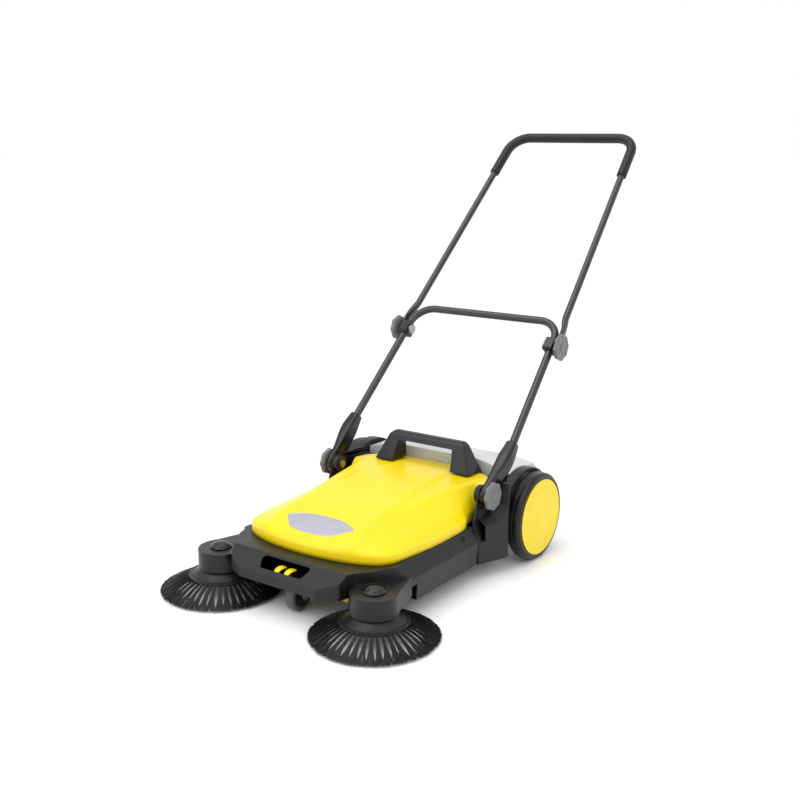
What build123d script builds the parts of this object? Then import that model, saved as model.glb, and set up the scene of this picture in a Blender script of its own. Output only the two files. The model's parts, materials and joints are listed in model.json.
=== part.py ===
from build123d import *
import os
from math import asin, atan2, cos, degrees, hypot, radians, sin, sqrt

# Walk-behind push sweeper with two front disc brushes. Millimetres, +Z up. The origin is the centre
# of the base of the whole machine. The machine travels towards -Y, and its left-hand side is +X.
# Lengths called "ahead" run forwards from the main wheel axle. The left half is drawn, and the
# right half is its mirror image in the YZ plane.

# ---- Driving dimensions: main wheels
WHEEL_R = 100.0
WHEEL_FACE_X = 267.0
WHEEL_WIDTH = 36.0
TYRE_DEPTH = 12.0
COVER_R = 86.4
COVER_T = 3.0
AXLE_R = 6.0
HUB_R = 22.0
SLEEVE_R = 14.0

# ---- Disc brushes
BRUSH_X = 202.5
BRUSH_AHEAD = 544.0
BRUSH_R = 131.5
PLATE_R = 69.5
HEAD_R = 48.0
HEAD_TOP = 94.0
HEAD_BASE = 52.0
SPINDLE_R = 6.0
BRISTLE_FLOOR_GAP = 0.5
CAP_R = 23.0
CAP_H = 11.0

# ---- Body
WALL = 3.0
DECK_Z = 119.0
SKIRT_Z = 35.0
SKIRT_X = 218.0
CREASE_Z = 86.0
SHOULDER_X = 200.0
BELLY_Z = 70.0
BUMPER_AHEAD = 597.0
SEAM_AHEAD = 190.0
SKIRT_FRONT_AHEAD = 420.0
BULKHEAD_AHEAD = 236.0
SIDE_WALL_X = 200.0
SIDE_WALL_T = 4.0
SIDE_WALL_TOP = 196.0
FENDER_X = 245.0
FENDER_AHEAD = 107.0
ARCH_R = 104.0
ARCH_T = 3.5
BEAM_BACK_AHEAD = 45.0
BEAM_FRONT_AHEAD = 100.0
BEAM_TOP = 187.0
BEAM_H = 26.0
SLOT_REAR_AHEAD = 561.0
SLOT_FRONT_AHEAD = 586.0
SLOT_HALF = 65.0
NOSE_AHEAD = 557.0
NOSE_Z = 93.0

# ---- Hood
HOOD_T = 3.0
HOOD_FRONT_AHEAD = 523.0
HOOD_RIM_H = 17.0
HOOD_REAR_AHEAD = 32.0

# ---- Carry handle
CARRY_FOOT_X = 134.0
CARRY_TOP_X = 101.0
CARRY_TOP_Z = 262.0
CARRY_GRIP_H = 18.0
CARRY_LEG_X = 79.0

# ---- Waste container
BIN_HALF = 198.0
BIN_LOW_HALF = 172.0
BIN_LEDGE_Z = 150.0
BIN_BASE = 45.0
BIN_TOP = 226.0
BIN_REAR = 104.0
BIN_T = 3.0
BIN_CROWN = 30.0
BIN_LIP = 22.0

# ---- Main sweeping roller
ROLLER_AHEAD = 160.0
ROLLER_R = 57.0
ROLLER_Z = 58.0
ROLLER_HALF = 165.0
ROLLER_CORE_R = 24.0
ROLLER_SHAFT_R = 5.0
ROLLER_ROWS = 6

# ---- Belt drive
WHEEL_PULLEY_R = 28.0
BRUSH_PULLEY_R = 12.0
ROLLER_PULLEY_R = 12.0
BELT_R = 2.5
BELT_GAP = 0.3
GROOVE_W = 7.2
FLANGE_T = 2.0
PULLEY_GAP = 0.4
BRUSH_BELT_Z = 72.0

# ---- Front support wheel
FRONT_WHEEL_R = 31.2
FRONT_WHEEL_AHEAD = 530.5
FRONT_WHEEL_W = 22.0
FRONT_BOLT_R = 4.0

# ---- Push handle: two U-shaped tubes in one tilted plane through the hinge
HINGE_AHEAD = 150.0
HINGE_Z = 182.0
HANDLE_ANGLE = 44.3
HANDLE_LENGTH = 1068.0
LOWER_LENGTH = 471.5
JOINT_AT = 403.0
LOWER_TUBE_R = 9.25
UPPER_TUBE_R = 8.25
TUBE_WALL = 1.25
LOWER_END_AT = 112.0
LOWER_END_X = 219.0
LOWER_TOP_X = 201.6
UPPER_END_X = 213.4
UPPER_TOP_X = 178.2
LOWER_BEND_R = 55.0
UPPER_BEND_R = 52.0
GRIP_R = 12.5
GRIP_FROM = 936.0
LUG_T = 8.0
LUG_R = 12.0
LUG_TOP_AT = 472.0
ARM_X = 204.5
ARM_T = 16.0
ARM_BOSS_R = 24.0
SOCKET_R = 13.0
HINGE_BOLT_R = 5.0
JOINT_BOLT_R = 4.0
KNOB_R = 32.0
KNOB_T = 12.5
KNOB_LOBES = 8

# ---- Fits
RUNNING = 0.05
PLAY = 0.3
GAP = 0.5

PULLEY_W = 3 * FLANGE_T + 2 * GROOVE_W
PULLEY_X = SIDE_WALL_X - PULLEY_GAP - PULLEY_W
HANDLE_REACH = HANDLE_LENGTH * cos(radians(HANDLE_ANGLE)) - HINGE_AHEAD + GRIP_R
AXLE_Y = (BRUSH_AHEAD + BRUSH_R - HANDLE_REACH) / 2
PARTS = {}


def ahead(distance):
    """The Y of a place that far in front of the main axle."""
    return AXLE_Y - distance


HINGE_Y = ahead(HINGE_AHEAD)
BRUSH_Y = ahead(BRUSH_AHEAD)
ROLLER_Y = ahead(ROLLER_AHEAD)
HANDLE = Plane(
    origin=(0, HINGE_Y, HINGE_Z),
    x_dir=(1, 0, 0),
    z_dir=(0, -sin(radians(HANDLE_ANGLE)), cos(radians(HANDLE_ANGLE))),
)


# ---- Solid helpers
def block(x0, x1, y0, y1, z0, z1):
    """A box between two corners."""
    return Pos((x0 + x1) / 2, (y0 + y1) / 2, (z0 + z1) / 2) * Box(x1 - x0, y1 - y0, z1 - z0)


def outline(points, radius=0.0):
    """A closed face in XY through the points, with its corners rounded if a radius is given."""
    if radius:
        return make_face(FilletPolyline(*points, radius=radius, close=True))
    return make_face(Polyline(*points, close=True))


def prism_x(face, x0, x1):
    """A face drawn as (y, z), extruded from x0 to x1."""
    return extrude(Plane.YZ.offset(x0) * face, x1 - x0)


def prism_y(face, y0, y1):
    """A face drawn as (x, z), extruded from y0 to y1."""
    return extrude(Plane.XZ.offset(-y1) * face, y1 - y0)


def prism_z(face, z0, z1):
    """A face drawn as (x, y), extruded from z0 to z1."""
    return extrude(Plane.XY.offset(z0) * face, z1 - z0)


def rod_x(radius, x0, x1, y, z):
    """A round bar along X."""
    return Pos((x0 + x1) / 2, y, z) * Rot(0, 90, 0) * Cylinder(radius, x1 - x0)


def rod_z(radius, z0, z1, x, y):
    """A round bar along Z."""
    return Pos(x, y, (z0 + z1) / 2) * Cylinder(radius, z1 - z0)


def rod(start, end, radius):
    """A round bar between two points."""
    start, end = Vector(*start), Vector(*end)
    run = end - start
    return extrude(Plane(origin=start, z_dir=run) * Circle(radius), run.length)


def turned_x(points, y, z, radius=0.0):
    """A solid of revolution about the line along X through (y, z), drawn as (x, radius)."""
    face = Pos(0, y, z) * (Plane.XZ * outline(points, radius))
    return revolve(face, Axis((0, y, z), (1, 0, 0)))


def turned_z(points, x, y):
    """A solid of revolution about the line along Z through (x, y), drawn as (radius, z)."""
    face = Pos(x, y, 0) * (Plane.XZ * outline(points))
    return revolve(face, Axis((x, y, 0), (0, 0, 1)))


def mirrored(shape):
    """The right-hand copy of a left-hand piece."""
    return mirror(shape, Plane.YZ)


def both(shape):
    """The left-hand piece and its mirror image."""
    return shape + mirrored(shape)


def half_plan(points):
    """Closes a left-half outline, drawn front to rear as (x, ahead), with its mirror image."""
    left = [(x, ahead(d)) for x, d in points]
    return left + [(-x, y) for x, y in reversed(left) if x > 0]


def keep(name, shape):
    """Stores a finished piece under its name."""
    PARTS[name] = shape


def keep_pair(name, shape):
    """Stores a left-hand piece and its mirror image."""
    keep(f"{name}_left", shape)
    keep(f"{name}_right", mirrored(shape))


# ---- Chassis
def body_section(inset):
    """The section of the side skirts, drawn as (x, z)."""
    edge = SKIRT_X - inset
    top = DECK_Z - inset
    base = SKIRT_Z - (inset and 2 * WALL)
    left = [(edge - 4, base), (edge, CREASE_Z), (SHOULDER_X - inset, top)]
    return outline(left + [(-x, z) for x, z in reversed(left)])


def deck_plan(inset):
    """The plan of the bumper, drawn as (x, y), to the back of the brush arms."""
    points = [
        (100 - inset, BUMPER_AHEAD - inset),
        (142 - inset, BUMPER_AHEAD - 20 - inset),
        (BRUSH_X - CAP_R - 28 - inset, BRUSH_AHEAD),
        (BRUSH_X - 20 - inset, BRUSH_AHEAD - CAP_R - 14 - inset),
        (SHOULDER_X - 2 - inset, SKIRT_FRONT_AHEAD + 36),
        (SHOULDER_X - 2 - inset, SKIRT_FRONT_AHEAD - 20),
    ]
    return outline(half_plan(points), 12)


def nose_cut(inset):
    """The wedge that slopes the bumper's top down to its front face."""
    slope = (DECK_Z - NOSE_Z) / (BUMPER_AHEAD - 4 - NOSE_AHEAD)
    points = [
        (ahead(NOSE_AHEAD), DECK_Z - inset),
        (ahead(BUMPER_AHEAD + 1), DECK_Z - inset - slope * (BUMPER_AHEAD + 1 - NOSE_AHEAD)),
        (ahead(BUMPER_AHEAD + 1), DECK_Z + 1),
        (ahead(NOSE_AHEAD), DECK_Z + 1),
    ]
    half = BRUSH_X - HEAD_R - 8
    return prism_x(outline(points), -half, half)


def flanks(inset):
    """The sloped shoulders that carry the side skirts forwards to the brush heads."""
    front = SKIRT_FRONT_AHEAD + 84 - inset
    plan = [
        (BRUSH_X - 30 - inset, front),
        (SHOULDER_X + 4 - inset, front - 34),
        (SKIRT_X - inset, SKIRT_FRONT_AHEAD + 20),
        (SKIRT_X - inset, SKIRT_FRONT_AHEAD - 10),
    ]
    body = prism_y(body_section(inset), ahead(front), ahead(SKIRT_FRONT_AHEAD - 4))
    return body & prism_z(outline(half_plan(plan)), BELLY_Z + inset, DECK_Z)


def head_solid(inset, base, top):
    """One brush head, flat towards the front and round elsewhere."""
    radius = HEAD_R - inset
    head = rod_z(radius, base, top, BRUSH_X, BRUSH_Y)
    arm = [
        (BRUSH_X - HEAD_R - 8 + inset, BRUSH_AHEAD - 4 - inset),
        (BRUSH_X + radius, BRUSH_AHEAD),
        (SKIRT_X - inset, SKIRT_FRONT_AHEAD + 20),
        (BRUSH_X - HEAD_R - 8 + inset, SKIRT_FRONT_AHEAD + 10),
    ]
    return head + prism_z(outline([(x, ahead(d)) for x, d in arm]), base, top)


def side_wall():
    """The inner side wall beside the container, with the hinge tower at its front."""
    low, high = SKIRT_Z + 5, SIDE_WALL_TOP
    points = [
        (ahead(SEAM_AHEAD), low),
        (ahead(-56), low),
        (ahead(-56), 150),
        (ahead(-20), high),
        (ahead(HINGE_AHEAD - 10), HINGE_Z + 22),
        (ahead(HINGE_AHEAD + 14), HINGE_Z + 20),
        (ahead(SEAM_AHEAD), 130),
    ]
    wall = prism_x(outline(points, 6), SIDE_WALL_X, SIDE_WALL_X + SIDE_WALL_T)
    boss = rod_x(20, SIDE_WALL_X - 10, SIDE_WALL_X + SIDE_WALL_T, HINGE_Y, HINGE_Z)
    return wall + boss


def container_ledge():
    """The rail on each side wall that carries the container's shoulder."""
    top = BIN_LEDGE_Z - GAP
    return block(BIN_LOW_HALF + 16, SIDE_WALL_X, ahead(66), ahead(-54), top - 5, top)


def chassis_shell():
    """The moulded body: bumper, deck, skirts, brush heads, side walls and cross beam in one piece."""
    skirt_y = (ahead(SKIRT_FRONT_AHEAD), ahead(SEAM_AHEAD))
    shell = prism_y(body_section(0), *skirt_y)
    shell += prism_z(deck_plan(0), BELLY_Z, DECK_Z) - nose_cut(0)
    shell += flanks(0)
    hollow = prism_y(body_section(WALL), skirt_y[0] + WALL, skirt_y[1] + 1)
    hollow += prism_z(deck_plan(WALL), BELLY_Z + WALL, DECK_Z - WALL) - nose_cut(WALL + 0.6)
    hollow += flanks(WALL)
    shell += both(head_solid(0, HEAD_BASE, HEAD_TOP))
    hollow += both(head_solid(WALL, HEAD_BASE + WALL, HEAD_TOP - WALL))
    shell -= hollow
    mouth = [(120, 500), (178, 470), (190, 400), (190, SEAM_AHEAD - 1)]
    shell -= prism_z(outline(half_plan(mouth), 10), DECK_Z - WALL - 1, DECK_Z + 1)
    slot = [(SLOT_HALF - 12, SLOT_FRONT_AHEAD), (SLOT_HALF, SLOT_REAR_AHEAD)]
    shell -= prism_z(outline(half_plan(slot), 7), BELLY_Z - 1, DECK_Z + 1)
    frame = block(-SKIRT_X + 6, SKIRT_X - 6, ahead(BULKHEAD_AHEAD), ahead(BULKHEAD_AHEAD - WALL), SKIRT_Z, 112)
    shell += frame
    belly_x = BRUSH_X - HEAD_R
    shell += block(-belly_x, belly_x, ahead(SKIRT_FRONT_AHEAD + 20), ahead(BULKHEAD_AHEAD), BELLY_Z, BELLY_Z + WALL)
    walls = side_wall() + container_ledge()
    step = SKIRT_X - 4 - SIDE_WALL_X
    walls += block(SIDE_WALL_X, SIDE_WALL_X + step, ahead(SEAM_AHEAD + WALL), ahead(SEAM_AHEAD), SKIRT_Z + 5, CREASE_Z)
    walls += block(SIDE_WALL_X, SIDE_WALL_X + SIDE_WALL_T, ahead(SEAM_AHEAD + WALL), ahead(SEAM_AHEAD), SKIRT_Z + 5, DECK_Z - 8)
    shell += both(walls)
    beam_y = (ahead(BEAM_FRONT_AHEAD), ahead(BEAM_BACK_AHEAD))
    beam = block(-SIDE_WALL_X, SIDE_WALL_X, *beam_y, BEAM_TOP - BEAM_H, BEAM_TOP)
    beam -= block(-SIDE_WALL_X + 8, SIDE_WALL_X - 8, beam_y[0] + WALL, beam_y[1] - WALL, BEAM_TOP - BEAM_H - 1, BEAM_TOP - WALL)
    shell += beam
    shell += bracket_pad()
    for side in (1, -1):
        shell -= rod_z(SPINDLE_R + 5, HEAD_BASE - 1, HEAD_BASE + WALL + 1, side * BRUSH_X, BRUSH_Y)
        shell -= rod_z(CAP_R - 6, HEAD_TOP - WALL - 1, HEAD_TOP + 1, side * BRUSH_X, BRUSH_Y)
    shell -= both(belt_tunnel())
    shell -= both(rod_x(SLEEVE_R + 2, SIDE_WALL_X - 1, SIDE_WALL_X + 9, AXLE_Y, WHEEL_R))
    shell -= both(rod_x(ROLLER_SHAFT_R + 4, SIDE_WALL_X - 1, SIDE_WALL_X + 9, ROLLER_Y, ROLLER_Z))
    shell -= both(rod_x(HINGE_BOLT_R, SIDE_WALL_X - 11, SIDE_WALL_X + 9, HINGE_Y, HINGE_Z))
    return shell


def bracket_pad():
    """The thick patch of the belly that the front wheel bracket bolts to."""
    y = ahead(FRONT_WHEEL_AHEAD)
    return block(-30, 30, y - 26, y + 30, BELLY_Z, BELLY_Z + 6)


def belt_tunnel():
    """The way through the walls and the brush arm for the two runs of a brush belt."""
    width = BELT_R + 4
    points = [
        (groove_x(0) - width, ahead(SEAM_AHEAD - 20)),
        (groove_x(0) + width + 4, ahead(SEAM_AHEAD - 20)),
        (BRUSH_X + BRUSH_PULLEY_R + width, ahead(BRUSH_AHEAD)),
        (BRUSH_X - BRUSH_PULLEY_R - width, ahead(BRUSH_AHEAD)),
    ]
    tunnel = prism_z(outline(points), BRUSH_BELT_Z - 8, BRUSH_BELT_Z + 18)
    back = [
        (groove_x(0) - width, ahead(SEAM_AHEAD - 20)),
        (groove_x(0) + width + 14, ahead(SEAM_AHEAD - 20)),
        (BRUSH_X + 5, ahead(SKIRT_FRONT_AHEAD - 90)),
        (groove_x(0) - width, ahead(SKIRT_FRONT_AHEAD - 90)),
    ]
    tunnel += prism_z(outline(back), BRUSH_BELT_Z - 8, DECK_Z - WALL)
    inside = prism_y(body_section(WALL), ahead(SKIRT_FRONT_AHEAD + 30), ahead(SEAM_AHEAD - 30))
    return tunnel & (inside + block(0, FENDER_X, ahead(BUMPER_AHEAD), ahead(SKIRT_FRONT_AHEAD + 30), 0, DECK_Z))


def side_panel():
    """The rear side panel: a flared fender ahead of the wheel, and the arch over its inner half."""
    seam, edge = ahead(SEAM_AHEAD - GAP), ahead(FENDER_AHEAD)
    wall_out = SIDE_WALL_X + SIDE_WALL_T

    def plan(inset):
        return outline(
            [
                (wall_out, seam + inset),
                (SKIRT_X - inset, seam + inset),
                (FENDER_X - inset, edge - 10 + inset / 2),
                (FENDER_X - inset, edge - inset),
                (wall_out, edge - inset),
            ]
        )

    top = SIDE_WALL_TOP + 8
    solid = prism_z(plan(0), SKIRT_Z, top) - scoop(0) - shoulder_cut(seam, 0)
    hollow = prism_z(plan(WALL), SKIRT_Z - 1, top - WALL) - scoop(WALL) - shoulder_cut(seam, WALL)
    panel = solid - hollow
    arch = rod_x(ARCH_R + ARCH_T, wall_out, WHEEL_FACE_X - WHEEL_WIDTH - 2, AXLE_Y, WHEEL_R)
    arch -= rod_x(ARCH_R, wall_out + WALL, WHEEL_FACE_X, AXLE_Y, WHEEL_R)
    arch -= rod_x(ARCH_R - 40, wall_out - 1, WHEEL_FACE_X, AXLE_Y, WHEEL_R)
    arch &= block(wall_out, FENDER_X, edge - 4, ahead(-82), WHEEL_R + 4, WHEEL_R * 2 + 20)
    root = block(wall_out, WHEEL_FACE_X - WHEEL_WIDTH - 2, edge - 1, edge + 5, WHEEL_R + 4, WHEEL_R + 26)
    arch += root - rod_x(ARCH_R, wall_out - 1, WHEEL_FACE_X, AXLE_Y, WHEEL_R)
    panel += arch
    swing = [(-44, -24), (8, -30), (120, 25), (120, 100), (-44, 100)]
    sweep_face = outline([(HINGE_Y + y, HINGE_Z + z) for y, z in swing])
    panel -= prism_x(sweep_face, wall_out - 1, ARM_X + ARM_T + 2)
    panel -= rod_x(ARM_BOSS_R + 4, wall_out - 1, ARM_X + ARM_T + 2, HINGE_Y, HINGE_Z)
    panel -= rod_x(ROLLER_SHAFT_R + 8, wall_out - 1, wall_out + 12, ROLLER_Y, ROLLER_Z)
    return panel


def scoop(inset):
    """The drafted recess round the hinge knob, open at its top and front, lower by the inset."""
    outer = [(SEAM_AHEAD + 5, 240), (SEAM_AHEAD + 5, 104), (158, 106), (130, 120), (112, 150), (110, 240)]
    inner = [(SEAM_AHEAD + 5, 240), (SEAM_AHEAD + 5, 132), (166, 134), (144, 142), (123, 164), (117, 240)]
    faces = []
    for x, points in ((SIDE_WALL_X + SIDE_WALL_T + WALL - inset, inner), (FENDER_X + 2, outer)):
        shifted = [(ahead(d - inset), z - inset) for d, z in points]
        faces.append(Plane.YZ.offset(x) * outline(shifted))
    return loft(faces, ruled=True)


def shoulder_cut(seam, inset):
    """The wedge that slopes the panel's upper edge in towards the hood, ahead of the hinge."""
    points = [
        (SKIRT_X + 12, CREASE_Z - inset),
        (SKIRT_X, CREASE_Z - inset),
        (SHOULDER_X + 2 - inset, DECK_Z + 8 - inset),
        (SHOULDER_X - 4, SIDE_WALL_TOP + 20),
        (SKIRT_X + 12, SIDE_WALL_TOP + 20),
    ]
    return prism_y(outline(points), seam - 1, HINGE_Y - 22)


# ---- Hood
def hood_section(distance, inset):
    """The hood's section at one distance ahead of the axle, drawn as (x, z)."""
    fall = 0.00047 if distance > 200.0 else 0.00016
    crest = 198.0 - fall * (distance - 200.0) ** 2
    half = 200.0 - 0.00055 * max(distance - 300.0, 0.0) ** 2
    ridge = 66.0 + 0.115 * distance
    rim = DECK_Z + HOOD_RIM_H
    spread = min(max((350.0 - distance) / 250.0, 0.0), 1.0)
    shoulder = max(crest - 8.0 + 4.5 * spread, rim + 2.0)
    shoulder_x = ridge + 10.0 + spread * (CARRY_FOOT_X + 28.0 - ridge - 10.0)
    left = [
        (half - inset, DECK_Z - (inset and 1)),
        (half - 2 - inset, rim - inset),
        (half - 14 - inset, rim + 0.26 * (shoulder - rim) - inset),
        (shoulder_x - inset / 2, shoulder - inset),
        (ridge - 8, crest - inset),
        (ridge - 30, crest - 1.5 - inset),
    ]
    points = left + [(-x, z) for x, z in reversed(left)]
    return Plane.XZ.offset(-ahead(distance)) * outline(points)


def hood_plan(inset):
    """The hood's outline seen from above."""
    nose = HOOD_FRONT_AHEAD - inset
    points = [
        (0, nose),
        (60 - inset / 2, nose - 4),
        (118 - inset / 2, nose - 16),
        (164 - inset, nose - 36),
        (186 - inset, nose - 66),
        (SHOULDER_X - inset, 330),
        (SHOULDER_X - inset, HINGE_AHEAD - 8),
        (166 - inset, 62 + inset),
        (104, HOOD_REAR_AHEAD + inset),
    ]
    return outline(half_plan(points), 9)


def hood_solid(inset):
    """The hood as a filled block, smaller by the inset."""
    stations = [535.0, 500.0, 460.0, 410.0, 360.0, 300.0, 220.0, 140.0, 60.0, 20.0]
    sections = [hood_section(d, inset) for d in stations]
    body = loft(sections, ruled=True)
    floor = DECK_Z - (1 if inset else 0)
    return body & prism_z(hood_plan(inset), floor, 260)


def hood_shell():
    """The yellow cover: a thin shell that stands on the deck."""
    shell = hood_solid(0) - hood_solid(HOOD_T)
    open_rear = block(-SIDE_WALL_X, SIDE_WALL_X, ahead(BEAM_FRONT_AHEAD + GAP), ahead(0), DECK_Z - 2, BEAM_TOP + 0.1)
    shell -= open_rear
    tower = rod_x(ARM_BOSS_R + 3, SIDE_WALL_X - 14, SIDE_WALL_X + 2, HINGE_Y, HINGE_Z)
    return shell - both(tower)


def badge_plate():
    """A blank metal plate on the slope behind the nose."""
    points = [(0, 498), (40, 494), (86, 474), (74, 452), (0, 446)]
    plate = prism_z(outline(half_plan(points), 6), DECK_Z, 240)
    skin = hood_solid(-1.2) - hood_solid(0)
    return (plate & skin).solids().sort_by(SortBy.VOLUME)[-1]


# ---- Carry handle
def carry_handle():
    """The arched grip that stands on the beam through the hood."""
    side = [
        (ahead(100), BEAM_TOP),
        (ahead(74), CARRY_TOP_Z - 5),
        (ahead(66), CARRY_TOP_Z),
        (ahead(50), CARRY_TOP_Z),
        (ahead(36), BEAM_TOP),
    ]
    grip_base = CARRY_TOP_Z - CARRY_GRIP_H
    front = [
        (CARRY_FOOT_X, BEAM_TOP),
        (CARRY_TOP_X + 3, CARRY_TOP_Z - 8),
        (CARRY_TOP_X - 6, CARRY_TOP_Z),
    ]
    arch = prism_x(outline(side), -CARRY_FOOT_X, CARRY_FOOT_X)
    arch &= prism_y(outline(front + [(-x, z) for x, z in reversed(front)]), ahead(110), ahead(20))
    hole = [(CARRY_LEG_X, BEAM_TOP - 1), (CARRY_LEG_X - 4, grip_base)]
    arch -= prism_y(outline(hole + [(-x, z) for x, z in reversed(hole)], 4), ahead(110), ahead(20))
    arch -= hood_solid(0)
    return arch.solids().sort_by(SortBy.VOLUME)[-1]


# ---- Waste container
def bin_profile(inset):
    """The container's side view, drawn as (y, z)."""
    rear = BIN_REAR - inset
    base = BIN_BASE + inset
    top = BIN_TOP - inset
    step_y = ahead(28 - inset)
    front = ahead(80 - inset)
    return outline(
        [
            (front, base),
            (ahead(-rear + 34), base),
            (ahead(-rear + 2), base + 34),
            (ahead(-rear), BIN_LEDGE_Z),
            (ahead(-rear + 8), top - 44),
            (ahead(-rear + 36), top - 17),
            (ahead(-8), top),
            (step_y, top - 9),
            (step_y, BIN_LEDGE_Z + 6 - inset),
            (front, BIN_LEDGE_Z + 6 - inset),
        ],
        3,
    )


def bin_width(inset):
    """The container's front view, drawn as (x, z): a narrow tub under wide, crowned shoulders."""
    low, wide = BIN_LOW_HALF - inset, BIN_HALF - inset
    ledge = BIN_LEDGE_Z + inset
    edge_z = BIN_TOP - BIN_CROWN - inset
    lower = Polyline((-wide, edge_z), (-wide, ledge), (-low, ledge), (-low, 0), (low, 0), (low, ledge), (wide, ledge), (wide, edge_z))
    crown = ThreePointArc((wide, edge_z), (0, BIN_TOP + 1 - inset), (-wide, edge_z))
    return make_face([lower, crown])


def bin_solid(inset):
    """The container as a filled block, smaller by the inset."""
    body = prism_x(bin_profile(inset), -BIN_HALF, BIN_HALF)
    return body & prism_y(bin_width(inset), ahead(120), ahead(-BIN_REAR - 20))


def waste_container():
    """The open-fronted tub behind the roller."""
    shell = bin_solid(0) - bin_solid(BIN_T)
    inlet = block(-BIN_LOW_HALF + 8, BIN_LOW_HALF - 8, ahead(90), ahead(70), BIN_BASE + 12, BIN_LEDGE_Z - 5)
    return shell - inlet


def container_lip():
    """The grip lip along the container's rear."""
    y = ahead(-BIN_REAR)
    z = BIN_LEDGE_Z
    points = [(y, z - 6), (y + BIN_LIP, z - 2), (y + BIN_LIP, z - 16), (y + BIN_LIP - 4, z - 16), (y + BIN_LIP - 4, z - 6), (y, z - 11)]
    lip = prism_x(outline(points), -90, 90)
    return lip - bin_solid(0)


# ---- Wheels
def wheel_parts():
    """Tyre, rim, cover and drive pulley of one main wheel."""
    outer = WHEEL_FACE_X - COVER_T + 0.5
    inner = WHEEL_FACE_X - WHEEL_WIDTH
    seat = WHEEL_R - TYRE_DEPTH
    tread = [(inner, seat), (inner, WHEEL_R - 6), (inner + 5, WHEEL_R), (outer - 4, WHEEL_R), (outer, WHEEL_R - 5), (outer, seat)]
    keep_pair("wheel_tyre", turned_x(tread, AXLE_Y, WHEEL_R, 2))
    web = WHEEL_FACE_X - 18
    hub_end = PULLEY_X + PULLEY_W
    rim = turned_x([(inner + 2, seat - 6), (inner + 2, seat), (outer - 1, seat), (outer - 1, seat - 6)], AXLE_Y, WHEEL_R)
    rim += rod_x(seat - 4, web, web + 4, AXLE_Y, WHEEL_R)
    rim += rod_x(HUB_R, inner + 3, web + 8, AXLE_Y, WHEEL_R)
    rim += rod_x(SLEEVE_R, hub_end, inner + 4, AXLE_Y, WHEEL_R)
    rim -= rod_x(AXLE_R + RUNNING, hub_end - 1, WHEEL_FACE_X, AXLE_Y, WHEEL_R)
    keep_pair("wheel_rim", rim)
    face = WHEEL_FACE_X
    cover = [(face - COVER_T, 0), (face - 1, 0), (face - 1.5, 30), (face - 1.5, 70), (face, COVER_R - 4), (face - 1, COVER_R), (face - COVER_T, COVER_R)]
    keep_pair("wheel_cover", turned_x(cover, AXLE_Y, WHEEL_R))
    keep_pair("drive_pulley", wheel_pulley())


def groove_x(index):
    """The X of the middle of a drive pulley's groove, counted from its inner face."""
    return PULLEY_X + FLANGE_T + GROOVE_W / 2 + index * (GROOVE_W + FLANGE_T)


def grooved(radius, x0, x1, centres, width, y, z):
    """A pulley blank along X with a square groove at each centre."""
    blank = rod_x(radius + 1.5, x0, x1, y, z)
    for centre in centres:
        ring = rod_x(radius + 3, centre - width / 2, centre + width / 2, y, z)
        ring -= rod_x(radius - BELT_R - BELT_GAP, centre - width / 2, centre + width / 2, y, z)
        blank -= ring
    return blank


def wheel_pulley():
    """The twin-groove pulley fixed on the inner end of a wheel's sleeve."""
    end = PULLEY_X + PULLEY_W
    pulley = grooved(WHEEL_PULLEY_R, PULLEY_X, end, [groove_x(0), groove_x(1)], GROOVE_W, AXLE_Y, WHEEL_R)
    return pulley - rod_x(AXLE_R + RUNNING, PULLEY_X - 1, end + 1, AXLE_Y, WHEEL_R)


def axle_parts():
    """The fixed stub axle, the bracket that holds it and the clip that keeps the wheel on."""
    plate_x = BIN_LOW_HALF + 1.5
    plate_t = 4.0
    end = WHEEL_FACE_X - 6
    hub_end = WHEEL_FACE_X - 10
    axle = rod_x(AXLE_R, plate_x, end, AXLE_Y, WHEEL_R)
    groove = rod_x(AXLE_R + 1, hub_end + 0.4, hub_end + 1.8, AXLE_Y, WHEEL_R)
    groove -= rod_x(AXLE_R - 1, hub_end, hub_end + 2, AXLE_Y, WHEEL_R)
    keep_pair("stub_axle", axle - groove)
    clip = rod_x(AXLE_R + 3, hub_end + 0.4, hub_end + 1.8, AXLE_Y, WHEEL_R)
    clip -= rod_x(AXLE_R - 1, hub_end, hub_end + 2, AXLE_Y, WHEEL_R)
    keep("axle_clips", both(clip))
    reach = WHEEL_PULLEY_R + 12
    plate = block(plate_x, plate_x + plate_t, AXLE_Y - reach, AXLE_Y + reach, WHEEL_R - 36, WHEEL_R + 36)
    plate += block(plate_x, SIDE_WALL_X, AXLE_Y + reach - 4, AXLE_Y + reach, WHEEL_R - 36, WHEEL_R + 36)
    plate += block(plate_x, SIDE_WALL_X, AXLE_Y - reach, AXLE_Y - reach + 4, WHEEL_R - 12, WHEEL_R + 12)
    plate -= rod_x(AXLE_R, plate_x - 1, plate_x + plate_t + 1, AXLE_Y, WHEEL_R)
    keep_pair("axle_bracket", plate)


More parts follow.
